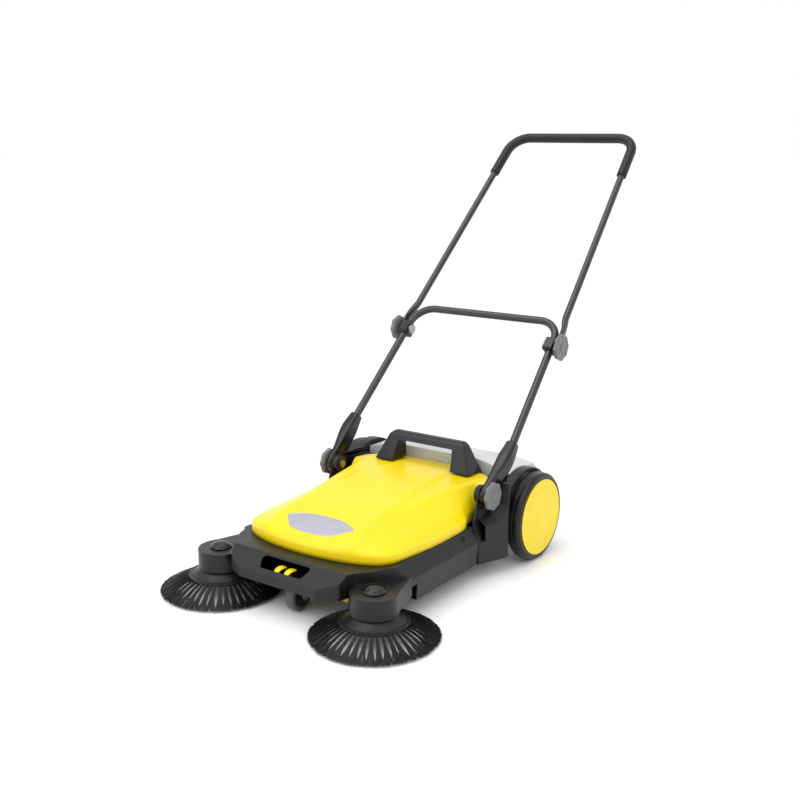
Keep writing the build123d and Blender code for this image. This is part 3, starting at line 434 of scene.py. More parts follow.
class Mould:
    """Builds plain meshes from points."""

    @staticmethod
    def mesh(
        name: str, points: Sequence[Any], faces: Sequence[Sequence[int]], weld: float = 1e-6
    ) -> bpy.types.Object:
        """Makes an object of a mesh with its normals turned out.

        Args:
            name: The piece's name.
            points: The vertices.
            faces: Their indices.
            weld: Vertices nearer than this are joined.

        Returns:
            The new object, in the scene.
        """
        data = bpy.data.meshes.new(name)
        data.from_pydata([tuple(p) for p in points], [], [tuple(f) for f in faces])
        work = bmesh.new()
        work.from_mesh(data)
        bmesh.ops.remove_doubles(work, verts=work.verts, dist=weld)
        bmesh.ops.recalc_face_normals(work, faces=work.faces)
        work.to_mesh(data)
        work.free()
        made = bpy.data.objects.new(name, data)
        bpy.context.scene.collection.objects.link(made)
        return made

    @staticmethod
    def grid(rings: Sequence[Sequence[Any]], round_stack: bool = False, ends: bool = False) -> Surface:
        """Joins closed rings of equal length by quads.

        Args:
            rings: The rings of points.
            round_stack: Whether the last ring joins the first.
            ends: Whether the first and last rings are filled.

        Returns:
            The points and the faces.
        """
        count, width = len(rings), len(rings[0])
        points = [p for ring in rings for p in ring]
        faces = []
        for row in range(count if round_stack else count - 1):
            for col in range(width):
                a, b = row * width, (row + 1) % count * width
                nxt = (col + 1) % width
                faces.append([a + col, a + nxt, b + nxt, b + col])
        if ends:
            faces.append(list(range(width)))
            faces.append([(count - 1) * width + i for i in range(width)])
        return points, faces

    @staticmethod
    def turned(profile: Sequence[Flat], centre: Point, axis: Axis, steps: int = 96) -> Surface:
        """A closed profile turned about an axis.

        Args:
            profile: (along the axis, radius) pairs.
            centre: The axis' origin.
            axis: The axis it turns about.
            steps: Points round.

        Returns:
            The points and the faces.
        """
        rings = []
        for step in range(steps):
            turn = step / steps * math.tau
            c, s = math.cos(turn), math.sin(turn)
            ring = []
            for along, radius in profile:
                if axis is Axis.ACROSS:
                    ring.append((centre[0] + along, centre[1] + radius * c, centre[2] + radius * s))
                else:
                    ring.append((centre[0] + radius * c, centre[1] + radius * s, centre[2] + along))
            rings.append(ring)
        return Mould.grid(rings, round_stack=True)

    @staticmethod
    def rounded(points: Sequence[Flat], passes: int) -> list[Flat]:
        """Cuts a closed polygon's corners until it is smooth.

        Args:
            points: The polygon.
            passes: How many times its corners are cut.

        Returns:
            The smooth polygon.
        """
        line = [tuple(p) for p in points]
        for _ in range(passes):
            new = []
            for a, b in zip(line, line[1:] + line[:1]):
                new.append(tuple(0.75 * p + 0.25 * q for p, q in zip(a, b)))
                new.append(tuple(0.25 * p + 0.75 * q for p, q in zip(a, b)))
            line = new
        return line

    @staticmethod
    def oval(half_side: float, half_up: float, around: int, square: float) -> list[Flat]:
        """A superellipse.

        Args:
            half_side: Its half width.
            half_up: Its half height.
            around: How many points it has.
            square: 2 for an ellipse, and more for a boxier form.

        Returns:
            Its points.
        """
        points = []
        for index in range(around):
            turn = index / around * math.tau
            c, s = math.cos(turn), math.sin(turn)
            side = math.copysign(abs(c) ** (2 / square), c)
            up = math.copysign(abs(s) ** (2 / square), s)
            points.append((half_side * side, half_up * up))
        return points

    @staticmethod
    def sweep(path: Sequence[Vector], sections: Sequence[Section], around: int = 24) -> Surface:
        """A bar along a path in the push handle's plane, with its ends closed.

        Args:
            path: The centre line.
            sections: (half width, half height, squareness) at each of its points.
            around: Points round the bar.

        Returns:
            The points and the faces.
        """
        rings = []
        reference = Vector((0.0, -math.sin(HANDLE_ANGLE), math.cos(HANDLE_ANGLE)))
        for index, (place, (half_side, half_up, square)) in enumerate(zip(path, sections)):
            before, after = path[max(0, index - 1)], path[min(len(path) - 1, index + 1)]
            tangent = (after - before).normalized()
            side = tangent.cross(reference).normalized()
            section = Mould.oval(half_side, half_up, around, square)
            rings.append([place + side * u + reference * v for u, v in section])
        return Mould.grid(rings, ends=True)


class Workshop:
    """The frame, the finishes and the ways to dress a piece."""

    WELD = 2e-5
    FLAT = math.radians(1.0)
    HARD = 28.0
    SHORTEST_EDGE = 0.4

    def __init__(self) -> None:
        """Loads the frame and notes its box."""
        self.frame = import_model()
        self.cad_box = [list(corner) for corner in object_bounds()]
        self.materials: dict[str, bpy.types.Material] = {}

    def finish(self, kind: Any) -> bpy.types.Material:
        """The material of a finish, made once."""
        if kind.name not in self.materials:
            self.materials[kind.name] = kind.material()
        return self.materials[kind.name]

    def place(
        self, piece: bpy.types.Object, body: str, slot: str, kind: Any,
        nodes: Iterable[str] = (), angle: float = 32.0,
    ) -> bpy.types.Object:
        """Dresses a piece, rides it on its body and hides what it stands for.

        Args:
            piece: The object.
            body: The CAD body it moves with.
            slot: The record's material slot. Not used.
            kind: Its finish.
            nodes: The CAD nodes it replaces.
            angle: Edges sharper than this many degrees stay sharp.

        Returns:
            The same object.
        """
        piece.data.materials.clear()
        piece.data.materials.append(self.finish(kind))
        piece.data.polygons.foreach_set("use_smooth", [True] * len(piece.data.polygons))
        piece.data.set_sharp_from_angle(angle=math.radians(angle))
        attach(piece, body)
        if nodes:
            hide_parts(*nodes)
        LOG.info("%s on %s: %d faces", piece.name, body, len(piece.data.polygons))
        return piece

    def cast(self, node: str, kind: Any, edge: float = 0.0, segments: int = 2) -> bpy.types.Object:
        """A CAD node's shape with its hard edges rounded, standing for that node.

        Args:
            node: The CAD node.
            kind: Its finish.
            edge: The rounding in metres, or 0 for none.
            segments: Facets across each rounded edge.

        Returns:
            The new object.
        """
        source = self.frame["nodes"][node]
        data = bpy.data.meshes.new(f"{node}_moulding")
        work = bmesh.new()
        work.from_mesh(source.data)
        bmesh.ops.remove_doubles(work, verts=work.verts, dist=self.WELD)
        bmesh.ops.dissolve_limit(work, angle_limit=self.FLAT, verts=work.verts, edges=work.edges)
        bmesh.ops.recalc_face_normals(work, faces=work.faces)
        if edge:
            hard = [
                line for line in work.edges
                if len(line.link_faces) == 2
                and line.calc_face_angle(0.0) > math.radians(self.HARD)
                and line.calc_length() > edge * self.SHORTEST_EDGE
            ]
            bmesh.ops.bevel(
                work, geom=hard, offset=edge, offset_type="OFFSET", segments=segments,
                profile=0.5, affect="EDGES", clamp_overlap=False, harden_normals=False,
            )
        bmesh.ops.triangulate(work, faces=[f for f in work.faces if len(f.verts) > 4])
        work.to_mesh(data)
        work.free()
        made = bpy.data.objects.new(f"{node}_moulding", data)
        bpy.context.scene.collection.objects.link(made)
        record = self.frame["record"]
        slots = {s["node"]: s["material_slot"] for s in record["subparts"]}
        bodies = record["behaviour"]["bodies"]
        body = next(name for name, members in bodies.items() if node in members)
        self.place(made, body, slots[node], kind, [node], self.HARD)
        made.modifiers.new("weighted normals", "WEIGHTED_NORMAL").keep_sharp = True
        return made


YELLOW = MouldedPlastic(
    "lemon_yellow_plastic", (0.80, 0.60, 0.001), roughness=0.33, grain=700.0,
    grain_depth=0.00002, edge_light=0.015, coat=0.08, gloss=0.32,
)
CHARCOAL = MouldedPlastic(
    "charcoal_plastic", (0.0070, 0.0072, 0.0078), roughness=0.36, grain=1100.0,
    grain_depth=0.00005, edge_light=0.016, gloss=0.34,
)
BLACK = MouldedPlastic(
    "black_plastic", (0.0040, 0.0040, 0.0044), roughness=0.22, grain=1100.0,
    grain_depth=0.00003, edge_light=0.012, gloss=0.40,
)
SILVER = MouldedPlastic("silver_grey_plastic", (0.52, 0.53, 0.54), roughness=0.26, edge_light=0.04)
KNOB_GREY = MouldedPlastic(
    "knob_grey_plastic", (0.125, 0.128, 0.134), roughness=0.36, grain_depth=0.00006, edge_light=0.08
)
BADGE = BareMetal("badge_satin_metal", (0.52, 0.52, 0.58), 0.42)
STEEL = BareMetal("zinc_plated_steel", (0.36, 0.365, 0.375), 0.34)
TUBE = TubePaint("dark_tube_paint", (0.034, 0.034, 0.037), 0.30)
TYRE = Rubber("tyre_rubber", (0.0055, 0.0055, 0.006), 0.32)
GREY_TYRE = Rubber("grey_tyre_rubber", (0.085, 0.086, 0.09), 0.5)
SLEEVE = Rubber("sleeve_foam", (0.0055, 0.0055, 0.006), 0.42, 900.0, 0.00012)
BELT = Rubber("belt_rubber", (0.012, 0.012, 0.012), 0.6)
FILAMENT = Bristle("black_filament", (0.004, 0.004, 0.0045))


@dataclass
class Hood:
    """The yellow cover with its raised centre, and the blank badge on its slope."""

    half: float = 0.200
    rim: float = 0.016
    wall: float = 0.0028
    rings: int = 56
    spine: Flat = (0.400, 0.110)
    edge_round: float = 0.016
    plan: tuple[Flat, ...] = (
        (0.0, 0.524), (0.040, 0.522), (0.080, 0.518), (0.118, 0.509), (0.150, 0.497), (0.172, 0.482),
        (0.186, 0.462), (0.192, 0.430), (0.200, 0.340), (0.200, 0.260), (0.1985, 0.212), (0.186, 0.190),
        (0.1825, 0.175), (0.1825, 0.140), (0.179, 0.102), (0.164, 0.062), (0.135, 0.045), (0.104, 0.033),
        (0.050, 0.030), (0.0, 0.030),
    )
    badge_plan: tuple[Flat, ...] = (
        (0.0, 0.4995), (0.016, 0.4990), (0.030, 0.4975), (0.046, 0.4945), (0.057, 0.4900),
        (0.072, 0.4750), (0.0885, 0.4575), (0.078, 0.4510), (0.066, 0.4450), (0.053, 0.4405),
        (0.036, 0.4368), (0.018, 0.4350), (0.0, 0.4345),
    )
    badge_rise: float = 0.0011
    badge_middle: float = 0.466
    badge_steps: tuple[Flat, ...] = (
        (1.0, 0.0), (1.0, 0.7), (0.985, 1.0), (0.955, 1.0), (0.95, 0.75),
        (0.8, 0.75), (0.6, 0.75), (0.4, 0.75), (0.2, 0.75), (0.0, 0.75),
    )
    crest: float = 0.198
    crest_at: float = 0.200
    fall_ahead: float = 0.47
    fall_behind: float = 0.16
    ridge_step: float = 0.0068
    ridge_ends: Flat = (0.40, 0.475)
    beam_step: Flat = (0.106, 0.150)

    def height(self, x: float, distance: float) -> float:
        """The hood's top surface, before its edge is rounded.

        Args:
            x: The place across the machine.
            distance: How far ahead of the axle.

        Returns:
            The Z of the surface.
        """
        fall = self.fall_ahead if distance > self.crest_at else self.fall_behind
        crest = self.crest - fall * (distance - self.crest_at) ** 2
        ridge = 0.066 + 0.115 * distance
        spread = min(max((0.350 - distance) / 0.250, 0.0), 1.0)
        rim_top = DECK_Z + self.rim
        shoulder = max(crest - 0.008 + 0.0045 * spread, rim_top + 0.002)
        shoulder_x = ridge + 0.012 + spread * (0.162 - ridge - 0.012)
        step = self.ridge_step * (1.0 - smoothstep(*self.ridge_ends, distance))
        low = min(crest - step, shoulder + 0.0015)
        section = (
            (0.0, crest - 0.001), (ridge - 0.034, crest - 0.001), (ridge - 0.003, crest),
            (ridge + 0.004, low), (shoulder_x, shoulder),
            (self.half - 0.014, rim_top + 0.26 * (shoulder - rim_top)),
            (self.half - 0.002, rim_top), (self.half + 0.05, rim_top - 0.002),
        )
        spots = [abs(abs(x) + offset) for offset in (-0.006, -0.003, 0.0, 0.003, 0.006)]
        return float(np.mean(np.interp(spots, *zip(*section))))

    def base(self, distance: float) -> float:
        """The Z of the hood's lower edge, which steps up over the cross beam at the rear."""
        climb = 1.0 - smoothstep(*self.beam_step, distance)
        return DECK_Z + 0.0003 + (BEAM_TOP + 0.0004 - DECK_Z) * climb

    def rim_height(self, distance: float) -> float:
        """How tall the rim band is."""
        return 0.0025 + (self.rim - 0.0025) * smoothstep(*self.beam_step, distance)

    def outline(self, plan: Sequence[Flat], passes: int) -> list[Flat]:
        """A closed outline from its left half, drawn front to rear.

        Args:
            plan: (x, ahead) pairs.
            passes: How often its corners are cut.

        Returns:
            The whole outline.
        """
        other = [(-x, d) for x, d in reversed(plan) if x > 0]
        return Mould.rounded(list(plan) + other, passes)

    def surface(self, x: float, distance: float, inward: float) -> float:
        """The finished surface, with its edge rounded down to the rim.

        Args:
            x: The place across the machine.
            distance: How far ahead of the axle.
            inward: How far inside the outline the place is.

        Returns:
            The Z of the surface.
        """
        floor = self.base(distance) + self.rim_height(distance)
        top = max(self.height(x, distance), floor + 0.0006)
        share = min(1.0, inward / self.edge_round)
        return floor + (top - floor) * math.sqrt(max(0.0, 1.0 - (1.0 - share) ** 2))

    def build(self, shop: Workshop) -> None:
        """Makes the cover and the badge."""
        outline = self.outline(self.plan, 3)
        rings = []
        for lift in (0.0, 0.55, 0.9):
            rings.append([(x, ahead(d), self.base(d) + lift * self.rim_height(d)) for x, d in outline])
        inner = []
        for index in range(self.rings + 1):
            share = 1.0 - (index / self.rings) ** 1.25
            ring = []
            for x, d in outline:
                hub = min(max(d, self.spine[1]), self.spine[0])
                run = math.hypot(x, d - hub)
                px, pd = x * share, hub + (d - hub) * share
                ring.append((px, ahead(pd), self.surface(px, pd, run * (1.0 - share) + 0.0004)))
            inner.append(ring)
        points, faces = Mould.grid(rings + inner)
        cover = Mould.mesh("hood_cover", points, faces, 2e-4)
        shell = cover.modifiers.new("wall", "SOLIDIFY")
        shell.thickness, shell.offset = self.wall, -1.0
        shop.place(cover, "chassis", "yellow_plastic", YELLOW, ["hood_shell"], 50.0)
        plan = self.outline(self.badge_plan, 0)
        rings = []
        for share, rise in self.badge_steps:
            ring = []
            for x, d in plan:
                px, pd = x * share, self.badge_middle + (d - self.badge_middle) * share
                ring.append((px, ahead(pd), self.surface(px, pd, 0.524 - pd) + self.badge_rise * rise))
            rings.append(ring)
        badge = Mould.mesh("blank_badge", *Mould.grid(rings), 2e-4)
        shop.place(badge, "chassis", "badge_metal", BADGE, ["badge_plate"], 25.0)


@dataclass
class DiscBrush:
    """One disc brush: a dark plate with a raised rim and a ring of bristle tufts."""

    side: Side
    tufts: int = 44
    filaments: int = 54
    root_r: float = 0.0625
    tip_r: float = 0.1312
    floor_gap: float = 0.0006
    filament_r: float = 0.00095
    root_half: float = 0.0015
    tip_half: float = 0.56
    plate: tuple[Flat, ...] = (
        (0.0510, 0.006), (0.0512, 0.013), (0.0505, 0.030), (0.0500, 0.045), (0.0475, 0.0475),
        (0.0405, 0.0600), (0.0385, 0.0640), (0.0392, 0.0662), (0.0383, 0.0690), (0.0350, 0.0696),
        (0.0320, 0.0680), (0.0360, 0.058), (0.0440, 0.043), (0.0445, 0.006),
    )

    def centre(self) -> Flat:
        """The brush's axis, from its CAD plate."""
        low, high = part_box(f"brush_plate_{self.side.word}")
        return ((low.x + high.x) / 2, (low.y + high.y) / 2)

    def filament(
        self, draw: np.random.Generator, turn: float, across: float, layer: float
    ) -> list[list[Point]]:
        """One bristle as four triangular rings.

        Args:
            draw: The random source.
            turn: The tuft's angle.
            across: The place across the tuft, from -1 to 1.
            layer: The place in its thickness, from 0 below to 1 on top.

        Returns:
            The rings from root to tip.
        """
        pitch = math.tau / self.tufts
        spread = (self.root_half / self.root_r, self.tip_half * pitch)
        reach = self.tip_r - 0.010 * draw.random() ** 2 - 0.004 * layer
        jitter = draw.normal(0.0, 0.013)
        rings = []
        for share in (0.0, 0.35, 0.62, 0.82, 1.0):
            radius = self.root_r + (reach - self.root_r) * share
            fan = spread[0] + (spread[1] - spread[0]) * share ** 2.8
            angle = turn + across * fan + jitter * share ** 3
            drop = 0.0345 + 0.0045 * layer - (0.0330 - 0.004 * (1 - layer)) * share ** 1.12
            thick = self.filament_r * (1.0 - 0.35 * share)
            c, s = math.cos(angle), math.sin(angle)
            ring = []
            for corner in range(3):
                phase = corner / 3 * math.tau + 0.4
                side, up = thick * math.cos(phase), thick * math.sin(phase)
                height = max(self.floor_gap, drop + up)
                ring.append((radius * c - side * s, radius * s + side * c, height))
            rings.append(ring)
        return rings

    def build(self, shop: Workshop) -> None:
        """Makes the plate and the bristles."""
        x, y = self.centre()
        word = self.side.word
        body = f"brush_{word}"
        turned = Mould.turned(self.plate, (x, y, 0.0), Axis.UP, 120)
        plate = Mould.mesh(f"brush_disc_{word}", *turned)
        shop.place(plate, body, "black_plastic", CHARCOAL, [f"brush_plate_{word}"], 40.0)
        draw = np.random.default_rng(7 if self.side is Side.LEFT else 11)
        points: list[Point] = []
        faces: list[list[int]] = []
        for tuft in range(self.tufts):
            turn = tuft / self.tufts * math.tau + draw.normal(0.0, 0.006)
            for _ in range(self.filaments):
                rings = self.filament(draw, turn, draw.uniform(-1.0, 1.0), draw.random())
                new, quads = Mould.grid(rings, ends=True)
                start = len(points)
                points.extend((x + p[0], y + p[1], p[2]) for p in new)
                faces.extend([start + i for i in quad] for quad in quads)
        bristles = Mould.mesh(f"bristle_tufts_{word}", points, faces, 0.0)
        shop.place(bristles, body, "bristle_black", FILAMENT, [f"brush_bristles_{word}"], 60.0)
        shop.cast(f"brush_drive_hub_{word}", CHARCOAL)


@dataclass
class MainWheel:
    """One main wheel: glossy tyre, rim and yellow disc with a shallow relief."""

    side: Side
    tyre: tuple[Flat, ...] = (
        (0.0000, 0.0870), (0.0000, 0.0935), (0.0012, 0.0965), (0.0040, 0.0990), (0.0085, 0.1000),
        (0.0150, 0.1000), (0.0158, 0.0996), (0.0166, 0.1000), (0.0245, 0.1000), (0.0290, 0.0990),
        (0.0322, 0.0962), (0.0334, 0.0925), (0.0334, 0.0885), (0.0326, 0.0870),
    )
    cover_r: float = 0.0862
    hub_radii: tuple[float, ...] = (0.0, 0.008, 0.0165, 0.018, 0.0195, 0.022, 0.025, 0.028)
    rim_radii: tuple[float, ...] = (
        0.0705, 0.0725, 0.0745, 0.077, 0.0795, 0.0808, 0.0822, 0.0838, 0.0852,
    )
    steps: int = 216
    blades: int = 3
    plate: float = 0.0008
    rim_rise: float = 0.0016
    dish_rise: float = 0.0006
    blade_rise: float = 0.0009
    hub_rise: float = 0.0007

    def turns(self) -> list[float]:
        """The angles of the disc's points."""
        return [step / self.steps * math.tau for step in range(self.steps)]

    def spot(self, x: float, radius: float, turn: float) -> Point:
        """The place at an X, a distance from the wheel's axis and an angle round it."""
        return (x, AXLE_Y + radius * math.cos(turn), WHEEL_R + radius * math.sin(turn))

    def relief(self, radius: float, turn: float) -> float:
        """How far the disc stands out at a place.

        Args:
            radius: The distance from the wheel's axis.
            turn: The angle round it.

        Returns:
            The height over the disc's back plane, in metres.
        """
        rim = self.rim_rise * smoothstep(0.0795, 0.0822, radius)
        dish = self.dish_rise * (1.0 - radius / self.cover_r)
        swirl = (turn + 5.5 * radius) * self.blades
        blade = smoothstep(0.10, 0.24, math.sin(swirl)) * smoothstep(0.022, 0.028, radius)
        blade *= 1.0 - smoothstep(0.070, 0.074, radius)
        hub = self.hub_rise * (1.0 - smoothstep(0.017, 0.019, radius))
        return self.plate + rim + dish + self.blade_rise * blade + hub

    def build(self, shop: Workshop) -> None:
        """Makes the tyre, the rim and the disc."""
        word, sign = self.side.word, self.side.value
        low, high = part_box(f"wheel_tyre_{word}")
        inner = low.x if sign > 0 else high.x
        body = f"wheel_{word}"
        profile = [(sign * a, r) for a, r in self.tyre]
        turned = Mould.turned(profile, (inner, AXLE_Y, WHEEL_R), Axis.ACROSS, 144)
        tyre = Mould.mesh(f"tyre_{word}", *turned)
        shop.place(tyre, body, "tyre_black", TYRE, [f"wheel_tyre_{word}"], 35.0)
        low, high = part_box(f"wheel_cover_{word}")
        back, face = (low.x, high.x) if sign > 0 else (high.x, low.x)
        radii = [*self.hub_radii, *(0.031 + 0.0028 * i for i in range(14)), *self.rim_radii]
        rings = []
        for radius in radii:
            ring = []
            for turn in self.turns():
                depth = min(self.relief(radius, turn), abs(face - back) - 0.0001)
                ring.append(self.spot(back + sign * depth, radius, turn))
            rings.append(ring)
        edge = ((self.cover_r, 0.0019), (self.cover_r, 0.0004), (0.070, 0.0), (0.0, 0.0))
        for radius, depth in edge:
            rings.append([self.spot(back + sign * depth, radius, turn) for turn in self.turns()])
        disc = Mould.mesh(f"wheel_disc_{word}", *Mould.grid(rings), 1e-5)
        shop.place(disc, body, "yellow_plastic", YELLOW, [f"wheel_cover_{word}"], 45.0)
        shop.cast(f"wheel_rim_{word}", BLACK, 0.0006)
        shop.cast(f"drive_pulley_{word}", CHARCOAL)


@dataclass
class StarKnob:
    """A grey clamping knob with eight soft lobes and a faceted face."""

    side: Side
    node: str
    body: str
    lobes: int = 8
    steps: int = 128
    lobe_cut: float = 0.085
    face_dip: float = 0.10
    rings: tuple[Flat, ...] = (
        (0.00, 0.0), (0.00, 0.80), (0.06, 0.86), (0.16, 0.97), (0.40, 1.0),
        (0.66, 1.0), (0.82, 0.965), (0.92, 0.90), (0.97, 0.80), (0.93, 0.62),
        (0.84, 0.44), (0.86, 0.36), (0.99, 0.33), (1.0, 0.25), (1.0, 0.0),
    )

    def build(self, shop: Workshop) -> None:
        """Makes the knob in the space of its CAD node."""
        sign = self.side.value
        low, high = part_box(self.node)
        back, thick = low.x if sign > 0 else high.x, high.x - low.x
        y, z = (low.y + high.y) / 2, (low.z + high.z) / 2
        size = (high.z - low.z) / 2
        rings = []
        for depth, share in self.rings:
            ring = []
            for step in range(self.steps):
                turn = step / self.steps * math.tau
                wave = math.cos(self.lobes * turn)
                lobe = 1.0 - self.lobe_cut * (0.5 - 0.5 * wave) ** 0.8 * smoothstep(0.3, 0.9, share)
                face = smoothstep(0.36, 0.6, share) * (1.0 - smoothstep(0.80, 0.92, share))
                dip = self.face_dip * (0.5 - 0.5 * wave) * face * smoothstep(0.8, 0.9, depth)
                radius = size * share * lobe
                x = back + sign * thick * (depth - dip)
                ring.append((x, y + radius * math.cos(turn), z + radius * math.sin(turn)))
            rings.append(ring)
        knob = Mould.mesh(f"{self.node}_star", *Mould.grid(rings), 1e-5)
        shop.place(knob, self.body, "grey_plastic", KNOB_GREY, [self.node], 24.0)


@dataclass
class PushHandle:
    """Both U tubes, the hinge arms, the middle blocks and the soft sleeve."""

    length: float = 1.068
    lower_length: float = 0.4715
    joint: float = 0.403
    lower_end: float = 0.112
    lower_half: Flat = (0.219, 0.2016)
    upper_half: Flat = (0.2134, 0.1782)
    lower_r: float = 0.00925
    upper_r: float = 0.00825
    grip_r: float = 0.0122
    grip_from: float = 0.936
    bends: Flat = (0.055, 0.052)
    bend_lead: float = 0.004
    arm: tuple[Station, ...] = (
        (-0.0235, 0.2125, 0.0060, 0.0070), (-0.0200, 0.2125, 0.0074, 0.0135),
        (-0.0120, 0.2125, 0.0080, 0.0205), (0.0, 0.2125, 0.0080, 0.0236),
        (0.012, 0.2125, 0.0080, 0.0222), (0.030, 0.2135, 0.0088, 0.0200),
        (0.050, 0.2155, 0.0112, 0.0196), (0.070, 0.2170, 0.0134, 0.0200),
        (0.086, 0.2180, 0.0146, 0.0198), (0.100, 0.2185, 0.0148, 0.0186),
        (0.112, 0.2186, 0.0140, 0.0164), (0.124, 0.2184, 0.0130, 0.0138),
        (0.134, 0.2180, 0.0124, 0.0125), (0.1375, 0.2178, 0.0112, 0.0112),
    )
    lug: tuple[Station, ...] = (
        (0.3915, 0.2191, 0.0032, 0.0050), (0.3945, 0.2191, 0.0039, 0.0088),
        (0.3990, 0.2191, 0.0040, 0.0114), (0.4040, 0.2191, 0.0040, 0.0119),
        (0.4400, 0.2190, 0.0041, 0.0116), (0.4560, 0.2165, 0.0052, 0.0104),
        (0.4700, 0.2128, 0.0072, 0.0090),
    )
    lug_blend: float = 0.484
    rib: tuple[Flat, ...] = (
        (0.066, 0.0), (0.072, 0.0016), (0.080, 0.0018), (0.094, 0.0018), (0.108, 0.0016), (0.116, 0.0),
    )

    def spot(self, x: float, along: float, over: float = 0.0) -> Vector:
        """A place given in the handle's plane.

        Args:
            x: Across the machine.
            along: The distance from the hinge.
            over: The height over the plane.

        Returns:
            The place in the row frame.
        """
        c, s = math.cos(HANDLE_ANGLE), math.sin(HANDLE_ANGLE)
        return Vector((x, ahead(HINGE_AHEAD) + along * c - over * s, HINGE_Z + along * s + over * c))

    def lower_x(self, along: float) -> float:
        """The lower tube's half width at a distance from the hinge."""
        share = (along - self.lower_end) / (self.lower_length - self.lower_end)
        return self.lower_half[0] + share * (self.lower_half[1] - self.lower_half[0])

    def upper_x(self, along: float) -> float:
        """The upper tube's half width at a distance from the hinge."""
        share = (along - self.joint) / (self.length - self.joint)
        return self.upper_half[0] + share * (self.upper_half[1] - self.upper_half[0])

    def loop(self, legs: Sequence[Flat], top_half: float, top: float, bend: float) -> list[Vector]:
        """The centre line of a U.

        Args:
            legs: (x, along) places up the left leg.
            top_half: The half width at the cross bar.
            top: The cross bar's distance from the hinge.
            bend: The radius of its bends.

        Returns:
            The line from the left leg's end to the right leg's.
        """
        foot = legs[-1]
        lean = math.atan2(foot[0] - top_half, top - foot[1])
        turn = math.pi / 2 - lean
        cut = bend * math.tan(turn / 2)
        centre = (top_half - cut, top - bend)
        arc = []
        for step in range(15):
            angle = lean + turn * step / 14
            arc.append((centre[0] + bend * math.cos(angle), centre[1] + bend * math.sin(angle)))
        left = list(legs) + arc
        return [self.spot(x, a) for x, a in left] + [self.spot(-x, a) for x, a in reversed(left)]

    def legs(self, half: Callable[[float], float], start: float, end: float, count: int) -> list[Flat]:
        """Evenly spaced places up a leg.

        Args:
            half: The leg's half width at a distance from the hinge.
            start: Where it starts.
            end: Where it ends.
            count: How many places.

        Returns:
            (x, along) pairs.
        """
        spots = [start + (end - start) * i / (count - 1) for i in range(count)]
        return [(half(a), a) for a in spots]

    def lower_line(self) -> list[Vector]:
        """The lower tube's centre line."""
        foot = self.lower_length - self.bends[0] - self.bend_lead
        legs = self.legs(self.lower_x, self.lower_end, foot, 12)
        return self.loop(legs, self.lower_half[1], self.lower_length, self.bends[0])

    def upper_line(self, start: Sequence[Flat], along: float, count: int) -> list[Vector]:
        """The upper tube's centre line.

        Args:
            start: (x, along) places at its ends.
            along: Where its straight leg starts.
            count: How many places the leg has.

        Returns:
            The line from the left leg's end to the right leg's.
        """
        foot = self.length - self.bends[1] - self.bend_lead
        legs = [*start, *self.legs(self.upper_x, along, foot, count)]
        return self.loop(legs, self.upper_half[1], self.length, self.bends[1])

    def build_tubes(self, shop: Workshop) -> None:
        """Makes both tubes and the sleeve."""
        line = self.lower_line()
        sizes = [(self.lower_r, self.lower_r, 2.0)] * len(line)
        tube = Mould.mesh("lower_u_tube", *Mould.sweep(line, sizes))
        shop.place(tube, "lower_handle", "tube_paint", TUBE, ["lower_tube"], 40.0)
        line = self.upper_line([(x, a) for a, x, _, _ in self.lug], self.lug_blend, 22)
        ends = [(hx, hn, 2.8) for _, _, hx, hn in self.lug]
        middle = [(self.upper_r, self.upper_r, 2.0)] * (len(line) - 2 * len(ends))
        tube = Mould.mesh("upper_u_tube", *Mould.sweep(line, ends + middle + ends[::-1]))
        shop.place(tube, "upper_handle", "tube_paint", TUBE, ["upper_tube"], 40.0)
        line = self.upper_line([], self.grip_from, 8)
        first, last = line[0], line[-1]
        line[1:1] = [first + (line[1] - first) * 0.1]
        line[-1:-1] = [last + (line[-2] - last) * 0.1]
        sizes = [(self.grip_r, self.grip_r, 2.1)] * len(line)
        sizes[0] = sizes[-1] = (self.grip_r - 0.0012, self.grip_r - 0.0012, 2.1)
        sleeve = Mould.mesh("soft_sleeve", *Mould.sweep(line, sizes))
        shop.place(sleeve, "upper_handle", "grip_foam", SLEEVE, ["grip_sleeve"], 50.0)

    def build_arm(self, shop: Workshop, side: Side) -> None:
        """Makes one hinge arm with its shoulders and a raised rib."""
        path = [self.spot(side.value * x, a) for a, x, _, _ in self.arm]
        sections = [(hx, hn, 4.5) for _, _, hx, hn in self.arm]
        arm = Mould.mesh(f"shouldered_arm_{side.word}", *Mould.sweep(path, sections, 40))
        smooth = arm.modifiers.new("soften", "SUBSURF")
        smooth.levels = smooth.render_levels = 1
        shop.place(arm, "lower_handle", "black_plastic", BLACK, [f"hinge_arm_{side.word}"], 60.0)
        along_arm = [a for a, _, _, _ in self.arm]
        outer = [x + hx for _, x, hx, _ in self.arm]
        for index, over in enumerate((0.0, 0.0095)):
            line, sizes = [], []
            for along, rise in self.rib:
                x = float(np.interp(along, along_arm, outer)) - 0.0016 + rise * 0.6
                taper = 1.0 - 2.6 * max(0.0, along - 0.08)
                line.append(self.spot(side.value * x, along, over * taper))
                sizes.append((0.0014, 0.0016, 2.4))
            rib = Mould.mesh(f"arm_rib_{side.word}_{index}", *Mould.sweep(line, sizes, 12))
            shop.place(rib, "lower_handle", "black_plastic", BLACK, (), 50.0)

    def build(self, shop: Workshop) -> None:
        """Makes the whole push handle."""
        self.build_tubes(shop)
        for side in Side:
            self.build_arm(shop, side)
            shop.cast(f"joint_saddle_{side.word}", BLACK, 0.0016, 3)
            StarKnob(side, f"hinge_knob_{side.word}", f"hinge_knob_{side.word}").build(shop)
            StarKnob(side, f"joint_knob_{side.word}", f"joint_knob_{side.word}").build(shop)
        shop.cast("joint_bolts", STEEL, 0.0004)


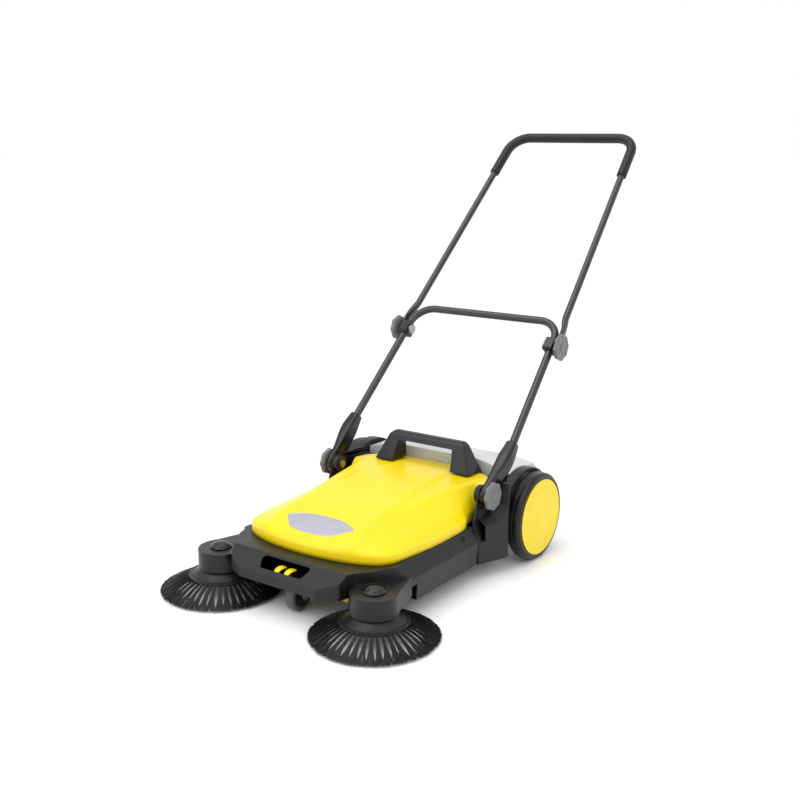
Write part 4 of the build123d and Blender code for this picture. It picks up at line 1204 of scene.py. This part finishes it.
@dataclass
class Chassis:
    """The moulded body with its panels, brush heads, carry handle and container."""

    edge: float = 0.0013
    soft_edge: float = 0.0045
    tongue_x: float = 0.013
    tongue: tuple[Station, ...] = (
        (0.5585, 0.0985, 0.0075, 0.0022), (0.566, 0.0995, 0.0075, 0.0022), (0.574, 0.0990, 0.0070, 0.0020),
        (0.580, 0.0965, 0.0062, 0.0018), (0.583, 0.0935, 0.0050, 0.0014),
    )

    def build(self, shop: Workshop) -> None:
        """Makes the body's pieces from their CAD shapes, with moulded edges."""
        shop.cast("chassis_shell", CHARCOAL, self.edge, 2)
        shop.cast("carry_handle", BLACK, self.soft_edge, 4)
        shop.cast("waste_container", SILVER, self.edge, 2)
        shop.cast("container_lip", SILVER, 0.001, 2)
        shop.cast("front_lip", YELLOW, 0.0006)
        for side in Side:
            self.build_tongue(shop, side)
            shop.cast(f"side_panel_{side.word}", CHARCOAL, 0.0012, 2)
            shop.cast(f"brush_cap_{side.word}", BLACK, 0.0010, 3)
            shop.cast(f"brush_bearing_{side.word}", CHARCOAL)
            shop.cast(f"axle_bracket_{side.word}", STEEL, 0.0005)
            shop.cast(f"stub_axle_{side.word}", STEEL)
            shop.cast(f"brush_belt_{side.word}", BELT)
        for node in ("beam_screws", "axle_clips", "hinge_bolts"):
            shop.cast(node, STEEL)
        shop.cast("roller_belt", BELT)
        shop.cast("roller_bushes", CHARCOAL)

    def build_tongue(self, shop: Workshop, side: Side) -> None:
        """Makes one of the two yellow tongues that stand in the bumper's slot.

        Args:
            shop: Where the piece goes.
            side: The side of the centre line it stands on.
        """
        middle = side.value * self.tongue_x
        rings = []
        for distance, z, half, thick in self.tongue:
            oval = Mould.oval(half, thick, 20, 4.0)
            rings.append([(middle + u, ahead(distance), z + v) for u, v in oval])
        tongue = Mould.mesh(f"slot_tongue_{side.word}", *Mould.grid(rings, ends=True))
        shop.place(tongue, "chassis", "yellow_plastic", YELLOW, (), 50.0)


@dataclass
class Underside:
    """The sweeping roller and the small front wheel."""

    tyre: tuple[Flat, ...] = (
        (-0.0110, 0.0232), (-0.0110, 0.0275), (-0.0100, 0.0299), (-0.0078, 0.0311), (0.0, 0.0312),
        (0.0078, 0.0311), (0.0100, 0.0299), (0.0110, 0.0275), (0.0110, 0.0232),
    )

    def build(self, shop: Workshop) -> None:
        """Makes the roller and the front wheel."""
        low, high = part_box("front_tyre")
        centre = ((low.x + high.x) / 2, (low.y + high.y) / 2, (low.z + high.z) / 2)
        tyre = Mould.mesh("support_tyre", *Mould.turned(self.tyre, centre, Axis.ACROSS, 96))
        shop.place(tyre, "front_wheel", "tyre_grey", GREY_TYRE, ["front_tyre"], 35.0)
        shop.cast("front_hub", BLACK, 0.0006)
        shop.cast("front_wheel_bracket", BLACK, 0.0008)
        shop.cast("front_axle_bolt", STEEL, 0.0005)
        shop.cast("roller_core", STEEL)
        shop.cast("roller_bristles", FILAMENT)
        shop.cast("roller_pulley", CHARCOAL)


@dataclass
class Studio:
    """Camera, floor and lights."""

    eye: Point = (1.3903, -2.0950, 0.9506)
    back: Point = (0.5655, -0.7901, 0.2365)
    lens: float = 50.0
    floor_half: float = 30.0

    def camera(self) -> None:
        """The camera, in front of the machine and to its left."""
        data = bpy.data.cameras.new("camera")
        data.lens, data.sensor_width = self.lens, 36.0
        data.clip_start, data.clip_end = 0.05, 100.0
        made = bpy.data.objects.new("camera", data)
        made.location = self.eye
        made.rotation_mode = "QUATERNION"
        made.rotation_quaternion = (-Vector(self.back)).to_track_quat("-Z", "Y")
        bpy.context.scene.collection.objects.link(made)
        bpy.context.scene.camera = made

    def lamp(self, name: str, place: Point, target: Point, size: Flat, watts: float) -> None:
        """One soft rectangular light.

        Args:
            name: Its name.
            place: Where it hangs.
            target: What it faces.
            size: Its width and height.
            watts: Its power.
        """
        data = bpy.data.lights.new(name, "AREA")
        data.shape, data.size, data.size_y, data.energy = "RECTANGLE", size[0], size[1], watts
        made = bpy.data.objects.new(name, data)
        made.location = place
        made.rotation_mode = "QUATERNION"
        made.rotation_quaternion = (Vector(target) - Vector(place)).to_track_quat("-Z", "Y")
        bpy.context.scene.collection.objects.link(made)

    def build(self) -> None:
        """Makes the studio."""
        self.camera()
        half = self.floor_half
        corners = [(-half, -half, 0), (half, -half, 0), (half, half, 0), (-half, half, 0)]
        floor = Mould.mesh("studio_floor", corners, [(0, 1, 2, 3)])
        graph = Graph("pale_floor")
        floor.data.materials.append(graph.surface(Base_Color=(0.86, 0.86, 0.86), Roughness=0.75))
        floor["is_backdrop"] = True
        world = bpy.data.worlds.new("studio_world")
        world.use_nodes = True
        white = world.node_tree.nodes["Background"].inputs
        white["Color"].default_value, white["Strength"].default_value = (1, 1, 1, 1), 1.0
        bpy.context.scene.view_settings.view_transform = "Standard"
        bpy.context.scene.world = world
        sky = bpy.data.lights.new("soft_sun", "SUN")
        sky.energy, sky.angle = 0.9, math.radians(50.0)
        sun = bpy.data.objects.new("soft_sun", sky)
        sun.rotation_euler = (math.radians(28.0), math.radians(-16.0), 0.0)
        bpy.context.scene.collection.objects.link(sun)
        self.lamp("top_softbox", (-0.3, -0.2, 3.2), (0, -0.1, 0.1), (2.6, 2.6), 26.0)
        self.lamp("left_softbox", (2.6, -1.2, 1.8), (0, -0.2, 0.2), (1.4, 1.8), 16.0)
        self.lamp("front_softbox", (-1.2, -3.0, 1.6), (0, -0.3, 0.2), (2.0, 1.2), 8.0)
        LOG.info("studio built")


def main() -> None:
    """Builds the machine piece by piece."""
    logging.basicConfig(level=logging.INFO, format="%(message)s")
    shop = Workshop()
    Studio().build()
    Chassis().build(shop)
    Hood().build(shop)
    for side in Side:
        DiscBrush(side).build(shop)
        MainWheel(side).build(shop)
    PushHandle().build(shop)
    Underside().build(shop)


if __name__ == "__main__":
    main()
